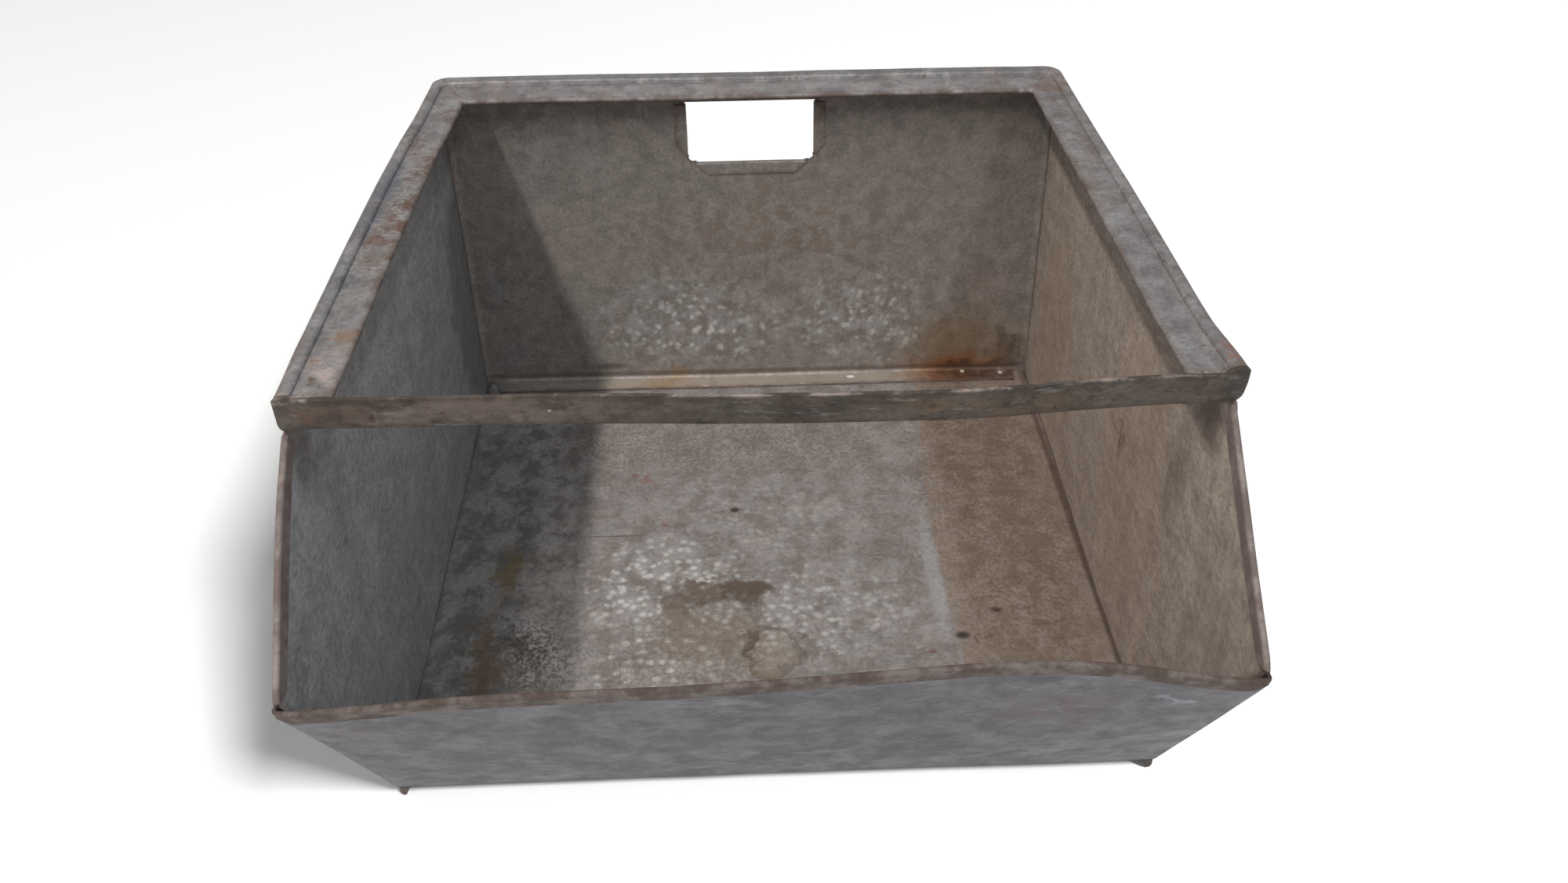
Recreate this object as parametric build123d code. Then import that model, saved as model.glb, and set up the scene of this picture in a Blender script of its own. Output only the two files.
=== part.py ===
from build123d import *
import math
import os

# Open-front sheet-steel storage bin that stacks. Millimetres, +Z up, the front (picking) side is -Y.
# The origin is on the floor, under the middle of the bin's outer box.

# Overall sizes
width = 400.0             # across the rim skirts
length = 450.0            # back skirt to the lip's folded edge
height = 245.0            # floor to the top of the raised rim band

# Sheets and how they lap
sheet = 1.5               # gauge of every pressed sheet
seam = 1.5                # open seam between a side panel's edge and the next sheet

# Runners under the floor
runner_height = 11.0      # folded V, from what it stands on to the bin's floor sheet
runner_width = 10.5       # across the V where it meets the floor sheet
runner_nose = 3.4         # flat that the bin stands on
runner_end_gap = 3.0      # the V stops this far short of the floor's two ends

# Floor and lip
lip_height = 154.7        # top edge of the lip above what the bin stands on
lip_reach = 79.0          # how far the lip leans out past the floor's front bend
lip_bend = 4.5            # outside radius between floor and lip
lip_hem = 9.0             # folded edge of the lip, turned to the outside
flange_height = 12.0      # upturned side flanges of the floor and lip

# Back panel
back_bend = 6.5           # outside radius of its two upright corners
back_flange = 18.0        # forward flanges outside the side panels
foot_flange = 15.0        # flange turned forward onto the floor
foot_bend = 4.0           # outside radius of that turn
foot_gap = 3.0            # the flange stops this far short of the upright corners' bends

# Hand hole in the back panel
hole_width = 86.0
hole_height = 43.0
hole_drop = 16.4          # ledge top down to the hole's top edge
hole_corner = 5.0
tab_width = 8.0           # sheet folded flat inside, left and right of the hole
tab_height = 9.0          # the same, below the hole

# Rim rails
band_rise = 2.6           # raised outer band above the ledge
side_band = 6.5
back_band = 10.0
side_ledge = 24.0         # outer side to the ledge's inner edge
back_ledge = 35.5
ledge_hem = 8.0           # inner edge of the ledge, folded under
skirt_height = 14.5       # skirt below the ledge top
rim_corner = 8.0
ledge_corner = 3.0

# Crossbar over the picking mouth
bar_height = 14.5
bar_thickness = 2.0
bar_corner = 4.0
bar_setback = 91.4        # the lip's foremost edge back to the bar's front face
side_hem = 6.0            # folded front edge of each side panel, turned inside

# Welds
bead = 3.0                # leg of a fillet bead
bead_thickness = 0.6      # flat bead under the rim's mitred corners
spot_radius = 3.0
spot_height = 0.25
spot_pitch = 62.0         # longest step between spot welds down the flanges
rim_spot_pitch = 93.0     # the same along the rim's skirts
foot_spot_pitch = 80.0    # the same along the back panel's foot
stitch_length = 18.0      # each bead inside a runner
stitch_pitch = 93.0       # longest step between those beads
lip_bead_length = 12.0

# Places that follow from the sizes above
half_width = width / 2
lip_rise = lip_height - runner_height
lip_angle = math.atan2(lip_rise, lip_reach)
lip_sin = math.sin(lip_angle)
lip_cos = math.cos(lip_angle)
y_back = length / 2
y_panel = y_back - sheet                     # outer face of the back panel
y_bend = -y_back + lip_reach + sheet * lip_sin
y_bar = -y_back + bar_setback
y_bar_rear = y_bar + bar_thickness
z_floor = runner_height
z_floor_top = z_floor + sheet
z_ledge = height - band_rise
z_bar_low = z_ledge - bar_height
z_skirt = z_ledge - skirt_height
z_band_low = height - sheet                  # panels reach up to the underside of the raised band
x_panel = half_width - sheet                 # outer face of a side panel
x_panel_in = x_panel - sheet
x_foot = half_width - back_bend - foot_gap   # the foot flange reaches this far each way
z_hole_top = z_ledge - hole_drop
z_hole_low = z_hole_top - hole_height
y_side_rear = y_panel - back_bend - seam
y_flange_front = y_panel - back_bend - back_flange


def lip_y(z, inset=0.0):
    """Y of the lip's outer face at height z, or of a parallel plane further inside."""
    return y_bend - (z - z_floor) / math.tan(lip_angle) + inset / lip_sin


# The front edge of a side panel runs straight from the lip's tip up to the foot of the crossbar.
tip = Vector(0, lip_y(lip_height), lip_height)
bar_foot = Vector(0, y_bar, z_bar_low)
edge_length = (bar_foot - tip).length
edge_run = (bar_foot - tip).normalized()
edge_in = Vector(0, edge_run.Z, -edge_run.Y)


def edge_point(along, inward=0.0):
    """Point in the YZ plane along the front edge, moved into the panel."""
    place = tip + edge_run * along + edge_in * inward
    return (place.Y, place.Z)


def edge_meets_lip(inset, inward=0.0):
    """Point where a line inside the front edge meets a plane inside the lip."""
    start = tip + edge_in * inward
    slope = edge_run.Y / edge_run.Z
    z = (lip_y(0, inset) - start.Y + start.Z * slope) / (slope + 1 / math.tan(lip_angle))
    return (lip_y(z, inset), z)


def side_outline(points):
    return make_face(Polyline([(0, p[0], p[1]) for p in points], close=True))


def across(face, x_low, x_high):
    """Push an outline in the YZ plane through from one X to another."""
    return Pos(x_low, 0, 0) * extrude(face, amount=x_high - x_low, dir=(1, 0, 0))


def block(x0, x1, y0, y1, z0, z1):
    return Pos((x0 + x1) / 2, (y0 + y1) / 2, (z0 + z1) / 2) * Box(x1 - x0, y1 - y0, z1 - z0)


def mirrored(shape):
    return mirror(shape, about=Plane.YZ)


def spread(low, high, longest):
    """Evenly spaced places from low to high, no further apart than the longest step."""
    steps = max(1, math.ceil((high - low) / longest))
    return [low + (high - low) * i / steps for i in range(steps + 1)]


# Side panels -----------------------------------------------------------------------------------

def side_panel_right():
    inset = sheet + seam
    z_low = z_floor + inset
    outline = side_outline([
        (y_side_rear, z_low),
        (lip_y(z_low, inset), z_low),
        edge_meets_lip(inset),
        (y_bar, z_bar_low),
        (y_bar_rear, z_bar_low),
        (y_bar_rear, z_band_low),
        (y_side_rear, z_band_low),
    ])
    hem = side_outline([
        edge_meets_lip(inset),
        edge_point(edge_length),
        edge_point(edge_length - side_hem / 2, side_hem),
        edge_meets_lip(inset, side_hem),
    ])
    return across(outline, x_panel_in, x_panel) + across(hem, x_panel_in - sheet, x_panel_in)


# Floor and lip ---------------------------------------------------------------------------------

def floor_and_lip():
    thick = Vector(0, lip_sin, lip_cos) * sheet
    top_in = tip + thick
    under = FilletPolyline((0, y_panel, z_floor), (0, y_bend, z_floor), tip, radius=lip_bend)
    over = FilletPolyline(
        (0, y_panel, z_floor_top), (0, lip_y(z_floor_top, sheet), z_floor_top), top_in,
        radius=lip_bend - sheet,
    )
    ends = [Line(under @ 0, over @ 0), Line(under @ 1, over @ 1)]
    pressed = across(make_face(under.edges() + over.edges() + ends), -half_width, half_width)
    down = Vector(0, lip_cos, -lip_sin) * lip_hem
    fold = [top_in, tip - thick, tip - thick + down, tip + down]
    pressed += across(side_outline([(p.Y, p.Z) for p in fold]), -half_width, half_width)
    z_top = z_floor + flange_height
    flange = side_outline([
        (y_flange_front - seam, z_floor_top),
        (lip_y(z_floor_top, sheet), z_floor_top),
        edge_meets_lip(sheet),
        edge_meets_lip(flange_height),
        (lip_y(z_top, flange_height), z_top),
        (y_flange_front - seam, z_top),
    ])
    flange = across(flange, x_panel, half_width)
    return pressed + flange + mirrored(flange)


# Back panel ------------------------------------------------------------------------------------

def back_upright():
    """Flat back with its two side flanges turned forward, up to the rim's skirt."""
    flange_end = (half_width, y_flange_front)
    outer = FilletPolyline(
        (-half_width, y_flange_front), (-half_width, y_panel), (half_width, y_panel), flange_end,
        radius=back_bend,
    )
    inner = FilletPolyline(
        (-x_panel, y_flange_front), (-x_panel, y_panel - sheet), (x_panel, y_panel - sheet),
        (x_panel, y_flange_front), radius=back_bend - sheet,
    )
    ends = [Line(outer @ 0, inner @ 0), Line(outer @ 1, inner @ 1)]
    section = make_face(outer.edges() + inner.edges() + ends)
    return Pos(0, 0, z_floor_top + seam) * extrude(section, amount=z_skirt - z_floor_top - 2 * seam)


def foot_turn():
    """The back's lower edge, turned forward onto the floor sheet."""
    z_join = z_floor_top + foot_bend + seam
    y_end = y_panel - sheet - foot_flange
    outer = FilletPolyline(
        (0, y_panel, z_join), (0, y_panel, z_floor_top), (0, y_end, z_floor_top), radius=foot_bend
    )
    inner = FilletPolyline(
        (0, y_panel - sheet, z_join), (0, y_panel - sheet, z_floor_top + sheet),
        (0, y_end, z_floor_top + sheet), radius=foot_bend - sheet,
    )
    ends = [Line(outer @ 0, inner @ 0), Line(outer @ 1, inner @ 1)]
    return across(make_face(outer.edges() + inner.edges() + ends), -x_foot, x_foot)


def hand_hole_tabs():
    """Three tabs of the cut-out folded flat against the inside, their ends cut at 45 degrees."""
    half = hole_width / 2
    y_face = y_panel - sheet
    x_end = half - hole_corner
    z_end = z_hole_low + hole_corner
    low = [
        (-x_end, z_hole_low), (x_end, z_hole_low),
        (x_end - tab_height, z_hole_low - tab_height), (-x_end + tab_height, z_hole_low - tab_height),
    ]
    side = [
        (half, z_end), (half + tab_width, z_end + tab_width),
        (half + tab_width, z_hole_top - hole_corner), (half, z_hole_top - hole_corner),
    ]
    tabs = []
    for outline in (low, side):
        face = make_face(Polyline([(p[0], y_face, p[1]) for p in outline], close=True))
        tabs.append(extrude(face, amount=sheet, dir=(0, -1, 0)))
    return tabs[0] + tabs[1] + mirrored(tabs[1])


def hand_hole():
    window = Rectangle(hole_width, hole_height)
    window = fillet(window.vertices(), radius=hole_corner)
    z_mid = (z_hole_top + z_hole_low) / 2
    middle = Plane(origin=(0, y_panel - sheet, z_mid), x_dir=(1, 0, 0), z_dir=(0, -1, 0))
    return extrude(middle * window, amount=2 * sheet, both=True)


def back_panel():
    z_join = z_floor_top + foot_bend + seam
    upright = back_upright() - block(-x_foot, x_foot, y_panel - sheet, y_panel, z_floor_top, z_join)
    x_top = x_panel - rim_corner
    top = block(-x_top, x_top, y_panel - sheet, y_panel, z_skirt - seam, z_band_low)
    return upright + foot_turn() + top + hand_hole_tabs() - hand_hole()


# Rim rails -------------------------------------------------------------------------------------

def rim_plan(side_inset, back_inset, corner):
    """Outline in plan of everything inside the given insets, open at the front."""
    x = half_width - side_inset
    y = y_back - back_inset
    outline = make_face(Polyline((-x, y_bar_rear), (x, y_bar_rear), (x, y), (-x, y), close=True))
    return fillet(outline.vertices().group_by(Axis.Y)[-1], radius=corner)


def rim_layer(outer, inner, z_low, z_high):
    return Pos(0, 0, z_low) * extrude(rim_plan(*outer) - rim_plan(*inner), amount=z_high - z_low)


def rim():
    outside = (0, 0, rim_corner)
    skirt_in = (sheet, sheet, rim_corner - sheet)
    band_in = (side_band, back_band, rim_corner - sheet)
    step_in = (side_band + sheet, back_band + sheet, ledge_corner)
    ledge_in = (side_ledge, back_ledge, ledge_corner)
    hem_out = (side_ledge - ledge_hem, back_ledge - ledge_hem, ledge_corner)
    skirt = rim_layer(outside, skirt_in, z_skirt, height)
    band = rim_layer(outside, step_in, z_band_low, height)
    step = rim_layer(band_in, step_in, z_ledge - sheet, height)
    ledge = rim_layer(band_in, ledge_in, z_ledge - sheet, z_ledge)
    hem = rim_layer(hem_out, ledge_in, z_ledge - 2 * sheet, z_ledge - sheet)
    return skirt + band + step + ledge + hem


def mitre_wedge():
    """Plan wedge of the back rail, cut along the line through both corners of the ledge."""
    slope = side_ledge / back_ledge
    reach = rim_corner
    x_out = half_width + reach * slope
    x_in = half_width - (back_ledge + seam) * slope
    outline = Polyline(
        (-x_out, y_back + reach), (x_out, y_back + reach),
        (x_in, y_back - back_ledge - seam), (-x_in, y_back - back_ledge - seam), close=True,
    )
    return Pos(0, 0, z_skirt - seam) * extrude(make_face(outline), amount=height)


def rim_rails():
    """Left, right and back rail."""
    whole = rim()
    wedge = mitre_wedge()
    back = whole & wedge
    sides = sorted((whole - wedge).solids(), key=lambda solid: solid.center().X)
    return sides[0], sides[1], back


# Crossbar and runners --------------------------------------------------------------------------

def crossbar():
    bar = block(-half_width, half_width, y_bar, y_bar_rear, z_bar_low, z_ledge)
    low_ends = bar.edges().filter_by(Axis.Y).group_by(Axis.Z)[0]
    return fillet(low_ends, radius=bar_corner)


def runner_right():
    x_in = half_width - runner_width
    x_nose = half_width - runner_nose
    lean = math.atan2(runner_height, x_nose - x_in)
    wall = sheet / math.sin(lean)
    outline = Polyline(
        (half_width, z_floor), (half_width, 0), (x_nose, 0), (x_in, z_floor), (x_in + wall, z_floor),
        (x_nose + wall - sheet / math.tan(lean), sheet), (half_width - sheet, sheet),
        (half_width - sheet, z_floor), close=True,
    )
    section = Plane.XZ * make_face(outline)
    front = y_bend + runner_end_gap
    rear = y_panel - runner_end_gap
    return Pos(0, rear, 0) * extrude(section, amount=rear - front)


# Welds -----------------------------------------------------------------------------------------

def crossbar_welds():
    """A fillet bead up each inner corner between crossbar and side panel."""
    corner = Polyline(
        (x_panel_in, y_bar_rear), (x_panel_in - bead, y_bar_rear), (x_panel_in, y_bar_rear + bead),
        close=True,
    )
    rise = z_ledge - 2 * sheet - z_bar_low - bead
    upright = Pos(0, 0, z_bar_low + bead / 2) * extrude(make_face(corner), amount=rise)
    return Compound([upright, mirrored(upright)])


def rim_corner_welds():
    """A bead under the ledge along each mitre. The top side is ground flush, so bins can sit on it."""
    slope = side_ledge / back_ledge
    y_start = y_back - back_band - sheet - ledge_corner
    y_end = y_back - (side_ledge - ledge_hem) / slope + bead
    plan_length = (y_start - y_end) * math.hypot(1, slope)
    middle = (y_start + y_end) / 2
    x = half_width - (y_back - middle) * slope
    turn = -math.degrees(math.atan(slope))
    place = Pos(x, middle, z_ledge - sheet - bead_thickness / 2)
    strip = place * Rot(0, 0, turn) * Box(bead, plan_length, bead_thickness)
    return Compound([strip, mirrored(strip)])


def lip_corner_welds():
    """A bead between each side panel's hem and the lip, low inside the mouth."""
    y_start, z_start = edge_meets_lip(sheet, side_hem + bead)
    y_end, z_end = edge_meets_lip(sheet, side_hem + bead + lip_bead_length)
    start = Vector(x_panel_in, y_start, z_start)
    run = Vector(0, y_end - y_start, z_end - z_start)
    inward = Vector(0, lip_sin, lip_cos) * (bead + seam)
    section = make_face(Polyline(start, start + Vector(-bead, 0, 0), start + inward, close=True))
    strip = extrude(section, amount=run.length, dir=run.normalized())
    return Compound([strip, mirrored(strip)])


def spot(place, normal):
    return Plane(origin=place, z_dir=normal) * Pos(0, 0, spot_height / 2) * Cylinder(
        spot_radius, spot_height
    )


def side_spots(places):
    """Spot welds on the right-hand outer face, from Y and Z pairs."""
    return Compound([spot((half_width, y, z), (1, 0, 0)) for y, z in places])


def back_flange_spots():
    y = y_panel - back_bend - back_flange / 2
    low = z_floor_top + flange_height
    return side_spots([(y, z) for z in spread(low, z_skirt - 2 * flange_height, spot_pitch)])


def floor_flange_spots():
    mid = (sheet + flange_height) / 2
    z = z_floor + mid
    rear = y_flange_front - seam - flange_height
    places = [(y, z) for y in spread(lip_y(z, mid) + flange_height, rear, spot_pitch)]
    low = z + flange_height
    high = lip_height - 2 * flange_height
    places += [(lip_y(z, mid), z) for z in spread(low, high, spot_pitch * lip_sin)]
    return side_spots(places)


def skirt_spots():
    z = z_ledge - skirt_height / 2
    front = y_bar_rear + flange_height
    rear = y_back - 2 * flange_height
    return side_spots([(y, z) for y in spread(front, rear, rim_spot_pitch)])


def back_skirt_spots():
    z = z_ledge - skirt_height / 2
    x = half_width - 2 * flange_height
    places = spread(-x, x, rim_spot_pitch)
    return Compound([spot((x, y_back, z), (0, 1, 0)) for x in places])


def foot_flange_spots():
    y = y_panel - sheet - (foot_bend + foot_flange) / 2
    x = x_foot - flange_height
    places = spread(-x, x, foot_spot_pitch)
    return Compound([spot((x, y, z_floor_top + sheet), (0, 0, 1)) for x in places])


def runner_welds():
    """Stitch beads inside the right runner's slanted leg, against the floor sheet."""
    x_in = half_width - runner_width
    section = make_face(Polyline(
        (x_in, 0, z_floor), (x_in - bead, 0, z_floor),
        (x_in + bead / runner_height * (runner_width - runner_nose), 0, z_floor - bead), close=True,
    ))
    front = y_bend + runner_end_gap + stitch_length
    rear = y_panel - runner_end_gap - stitch_length
    stitch = Pos(0, stitch_length / 2, 0) * extrude(section, amount=stitch_length, dir=(0, -1, 0))
    return Compound([Pos(0, y, 0) * stitch for y in spread(front, rear, stitch_pitch)])


def build():
    left_rail, right_rail, back_rail = rim_rails()
    parts = {
        "floor_and_lip": floor_and_lip(),
        "back_panel": back_panel(),
        "rim_rail_left": left_rail,
        "rim_rail_right": right_rail,
        "rim_rail_back": back_rail,
        "crossbar": crossbar(),
        "crossbar_welds": crossbar_welds(),
        "rim_corner_welds": rim_corner_welds(),
        "lip_corner_welds": lip_corner_welds(),
        "back_skirt_spot_welds": back_skirt_spots(),
        "foot_flange_spot_welds": foot_flange_spots(),
    }
    pairs = {
        "side_panel": side_panel_right(),
        "runner": runner_right(),
        "back_flange_spot_welds": back_flange_spots(),
        "floor_flange_spot_welds": floor_flange_spots(),
        "skirt_spot_welds": skirt_spots(),
        "runner_stitch_welds": runner_welds(),
    }
    for name, shape in pairs.items():
        parts[name + "_right"] = shape
        parts[name + "_left"] = mirrored(shape)
    return parts


if __name__ == "__main__":
    os.makedirs("parts", exist_ok=True)
    for name, shape in build().items():
        export_step(shape, f"parts/{name}.step")
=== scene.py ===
import bpy
import bmesh
import functools
import math
import random
from mathutils import Matrix, Vector, noise
from mathutils.geometry import delaunay_2d_cdt


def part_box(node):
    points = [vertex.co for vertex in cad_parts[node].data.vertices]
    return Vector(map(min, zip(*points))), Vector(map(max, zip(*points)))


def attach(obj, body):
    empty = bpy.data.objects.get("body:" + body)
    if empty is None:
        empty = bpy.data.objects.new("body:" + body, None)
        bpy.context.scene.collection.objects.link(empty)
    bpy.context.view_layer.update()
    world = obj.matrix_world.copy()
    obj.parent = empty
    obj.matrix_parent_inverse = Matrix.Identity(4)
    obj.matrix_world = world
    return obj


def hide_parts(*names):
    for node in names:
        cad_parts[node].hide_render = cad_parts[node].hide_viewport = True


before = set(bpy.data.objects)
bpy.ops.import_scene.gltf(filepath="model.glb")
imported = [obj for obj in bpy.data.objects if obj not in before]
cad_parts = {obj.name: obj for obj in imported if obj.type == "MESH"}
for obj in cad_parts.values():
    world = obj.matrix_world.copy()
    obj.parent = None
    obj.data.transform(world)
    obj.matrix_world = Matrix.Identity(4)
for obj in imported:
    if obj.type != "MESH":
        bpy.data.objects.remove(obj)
noise.seed_set(5)        # the dents come out the same each run
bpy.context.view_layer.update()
print("frame loaded:", len(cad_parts), "nodes")

# shapes are worked out in millimetres and scaled to metres when their mesh is made
mm = 0.001


def boxOf(node):
    low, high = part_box(node)
    return [v / mm for v in low], [v / mm for v in high]


floorLow, floorHigh = boxOf("floor_and_lip")
backLow, backHigh = boxOf("back_panel")
sideLow, sideHigh = boxOf("side_panel_right")
barLow, barHigh = boxOf("crossbar")
railLow, railHigh = boxOf("rim_rail_right")
backRailLow, backRailHigh = boxOf("rim_rail_back")
runnerLow, runnerHigh = boxOf("runner_right")

steelBin = {
    "sheet": 1.5,
    "halfWidth": floorHigh[0],
    "yBack": backRailHigh[1],
    "yPanel": backHigh[1],
    "zFloor": floorLow[2],
    "zTop": railHigh[2],
    "lipReach": 79.0,       # how far the lip leans out
    "lipRise": 143.7,       # and how far it rises
    "seam": 1.5,
}
half = steelBin["halfWidth"]
gauge = steelBin["sheet"]
lipAngle = math.atan2(steelBin["lipRise"], steelBin["lipReach"])
lipSin = math.sin(lipAngle)
lipCos = math.cos(lipAngle)
lipLength = math.hypot(steelBin["lipRise"], steelBin["lipReach"])
yBend = -steelBin["yBack"] + steelBin["lipReach"] + gauge * lipSin
zFloor = steelBin["zFloor"]
lipTip = (yBend - steelBin["lipReach"], zFloor + steelBin["lipRise"])


# ---- helpers for numbers

def clamp(value, low=0.0, high=1.0):
    return max(low, min(high, value))


def ease(value, low, high):
    t = clamp((value - low) / (high - low))
    return t * t * (3 - 2 * t)


def readTable(table, x):
    # straight lines between the pairs of a table
    if x <= table[0][0]:
        return table[0][1]
    for (x0, v0), (x1, v1) in zip(table, table[1:]):
        if x <= x1:
            return v0 + (v1 - v0) * (x - x0) / (x1 - x0)
    return table[-1][1]


def steps(low, high, pitch):
    count = max(1, math.ceil(abs(high - low) / pitch))
    return [low + (high - low) * i / count for i in range(count + 1)]


# ---- years of use: one field of dents and leans that every piece follows, so welded pieces stay together

wear = {
    "lipPush": [(-200, 0), (-182, 0.2), (-157, 1.4), (-141, 2.6), (-87, 4.4), (-40, 5.3), (0, 6.6), (50, 8.6),
                (85, 9.9), (120, 9.8), (145, 7.2), (160, 4.7), (173, 2.0), (188, 0.3), (200, 0)],
    "barBow": [(-200, 0), (-190, 0.4), (-120, 1.7), (-69, 2.7), (0, 5.0), (40, 6.2), (75, 6.8), (105, 5.0),
               (140, 1.8), (173, -0.7), (190, -0.4), (200, 0)],
    "leftFootIn": 8.2,       # the left wall's foot has been pushed in at the front
    "leftRimOut": 3.2,       # and its rim bows out
    "rightFootOut": 4.5,     # the right wall's foot stands out at the back
    "rightWallOut": 1.6,     # and its front edge a little
    "buckle": 0.75,          # slow waves in the sheets
    "buckleSize": 120.0,
    "ripple": 0.22,          # small knocks
    "rippleSize": 34.0,
}


def settle(x, y, z):
    dx = dy = dz = 0.0
    # the lip's top edge, leaned on and pushed into the bin
    up = (-(y - yBend) * lipCos + (z - zFloor) * lipSin) / lipLength
    out = -(y - yBend) * lipSin - (z - zFloor) * lipCos
    if abs(out) < 14 and up > 0.1:
        push = readTable(wear["lipPush"], x) * ease(up, 0.12, 1.05) ** 1.25
        dy += push * lipSin
        dz += push * lipCos
    # the crossbar, bowed forward
    if y < barHigh[1] + 0.2 and z > barLow[2] - 1 and y > barLow[1] - 8:
        dy -= readTable(wear["barBow"], x)
    # feet of the two side walls
    if x < -140:
        dx += wear["leftFootIn"] * clamp(1 - z / 152) ** 0.75 * clamp((215 - y) / 360) * ease(-x, 140, 192)
        dx -= wear["leftRimOut"] * ease(z, 150, 215) * ease(215 - y, 0, 150) * ease(-x, 140, 192)
    if x > 140:
        dx += wear["rightFootOut"] * clamp(1 - z / 240) * ease(y, -60, 225) * ease(x, 140, 192)
        dx += wear["rightWallOut"] * ease(-y, 60, 150) * ease(x, 140, 192) * ease(z, 30, 120)
    # front ends of the rim: the left one beaten down, the right one lifted and bulged
    if z > barLow[2] - 2 and y < -90:
        front = ease(-y, 90, 131)
        dz -= 1.7 * front * ease(-x, 188, 199)
        dz += 1.2 * front * ease(x, 186, 199)
        dx += 1.8 * front * ease(x, 186, 199) * ease(z, 225, 240)
    # the two corners of the lip, hammered round
    corner = math.dist((abs(x), y, z), (half, lipTip[0], lipTip[1]))
    if corner < 10:
        knock = (1 - corner / 10) ** 2
        dx -= math.copysign(1.1, x) * knock
        dy += 1.0 * knock
        dz -= (0.4 if x < 0 else 1.6) * knock
    place = Vector((x, y, z))
    slow = noise.noise_vector(place / wear["buckleSize"] + Vector((3.1, 7.7, 1.9))) * wear["buckle"]
    quick = noise.noise_vector(place / wear["rippleSize"] + Vector((9.3, 2.2, 5.5))) * wear["ripple"]
    lift = ease(z, 0, 30)
    return (x + dx + slow.x + quick.x, y + dy + slow.y + quick.y, z + dz + (slow.z + quick.z) * lift)


# ---- bent sheet metal: a path of runs and bends, read by the length along it

def bentPath(start, heading, legs):
    # legs: ("run", length) or ("bend", radius, degrees), positive degrees turn left
    marks = []
    x, y = start
    angle = math.radians(heading)
    s = 0.0
    for leg in legs:
        if leg[0] == "run":
            length = leg[1]
            marks.append((s, s + length, x, y, angle, 0.0, 0.0))
            x += math.cos(angle) * length
            y += math.sin(angle) * length
        else:
            turn = math.radians(leg[2])
            length = leg[1] * abs(turn)
            marks.append((s, s + length, x, y, angle, leg[1], turn))
            side = math.copysign(1, turn)
            cx = x - math.sin(angle) * leg[1] * side
            cy = y + math.cos(angle) * leg[1] * side
            angle += turn
            x = cx + math.sin(angle) * leg[1] * side
            y = cy - math.cos(angle) * leg[1] * side
        s += length
    return marks


def pathPoint(marks, s):
    # place and direction at a length along the path
    for mark in marks:
        if s <= mark[1] + 1e-9 or mark is marks[-1]:
            s0, s1, x, y, angle, radius, turn = mark
            if radius == 0.0:
                return x + math.cos(angle) * (s - s0), y + math.sin(angle) * (s - s0), angle
            side = math.copysign(1, turn)
            part = angle + turn * (s - s0) / (s1 - s0)
            cx = x - math.sin(angle) * radius * side
            cy = y + math.cos(angle) * radius * side
            return cx + math.sin(part) * radius * side, cy - math.cos(part) * radius * side, part


def pathLines(marks, runPitch, bendSteps=6):
    # lengths at which the mesh needs a line: sparse on runs, close in bends
    lines = []
    for s0, s1, x, y, angle, radius, turn in marks:
        if radius == 0.0:
            lines += steps(s0, s1, runPitch)
        else:
            count = max(2, round(bendSteps * abs(turn) / (math.pi / 2)))
            lines += [s0 + (s1 - s0) * i / count for i in range(count + 1)]
    tidy = []
    for s in sorted(lines):
        if not tidy or s - tidy[-1] > 0.05:
            tidy.append(s)
    return tidy


# ---- meshes

def meshObject(name, points, faces, materials, rub=None, faceTo=None):
    mesh = bpy.data.meshes.new(name)
    verts = [Vector(settle(*p)) * mm for p in points]
    mesh.from_pydata(verts, [], faces)
    if faceTo is not None and sum(p.area * p.normal.dot(Vector(faceTo)) for p in mesh.polygons) < 0:
        mesh.flip_normals()
    if rub is not None:
        layer = mesh.attributes.new("rub", "FLOAT", "POINT")
        layer.data.foreach_set("value", rub)
    for material in materials:
        mesh.materials.append(material)
    mesh.validate()
    mesh.update()
    piece = bpy.data.objects.new(name, mesh)
    bpy.context.scene.collection.objects.link(piece)
    for polygon in mesh.polygons:
        polygon.use_smooth = True
    return piece


def thicken(piece, thickness, edge=0.35, twoSided=True):
    # the surface becomes a sheet round its middle, its far side and rim in the second finish
    solid = piece.modifiers.new("gauge", "SOLIDIFY")
    solid.thickness = thickness * mm
    solid.offset = 0.0
    solid.use_even_offset = False
    solid.material_offset = solid.material_offset_rim = 1 if twoSided else 0
    bevel = piece.modifiers.new("rolledEdge", "BEVEL")
    bevel.width = edge * mm
    bevel.segments = 2
    bevel.limit_method = "ANGLE"
    bevel.angle_limit = math.radians(50)
    bevel.harden_normals = False
    normals = piece.modifiers.new("shading", "WEIGHTED_NORMAL")
    normals.keep_sharp = False
    normals.weight = 60


def finishPiece(piece, slot, *nodes):
    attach(piece, "root")
    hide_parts(*nodes)
    return piece


def insideLoop(point, loop):
    x, y = point
    inside = False
    for (x0, y0), (x1, y1) in zip(loop, loop[1:] + loop[:1]):
        if (y0 > y) != (y1 > y) and x < (x1 - x0) * (y - y0) / (y1 - y0) + x0:
            inside = not inside
    return inside


def loopDistance(point, loops):
    best = 1e9
    px, py = point
    for loop in loops:
        for (x0, y0), (x1, y1) in zip(loop, loop[1:] + loop[:1]):
            ax, ay = x1 - x0, y1 - y0
            size = ax * ax + ay * ay
            t = clamp(((px - x0) * ax + (py - y0) * ay) / size) if size else 0.0
            best = min(best, math.hypot(px - x0 - ax * t, py - y0 - ay * t))
    return best


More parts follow.
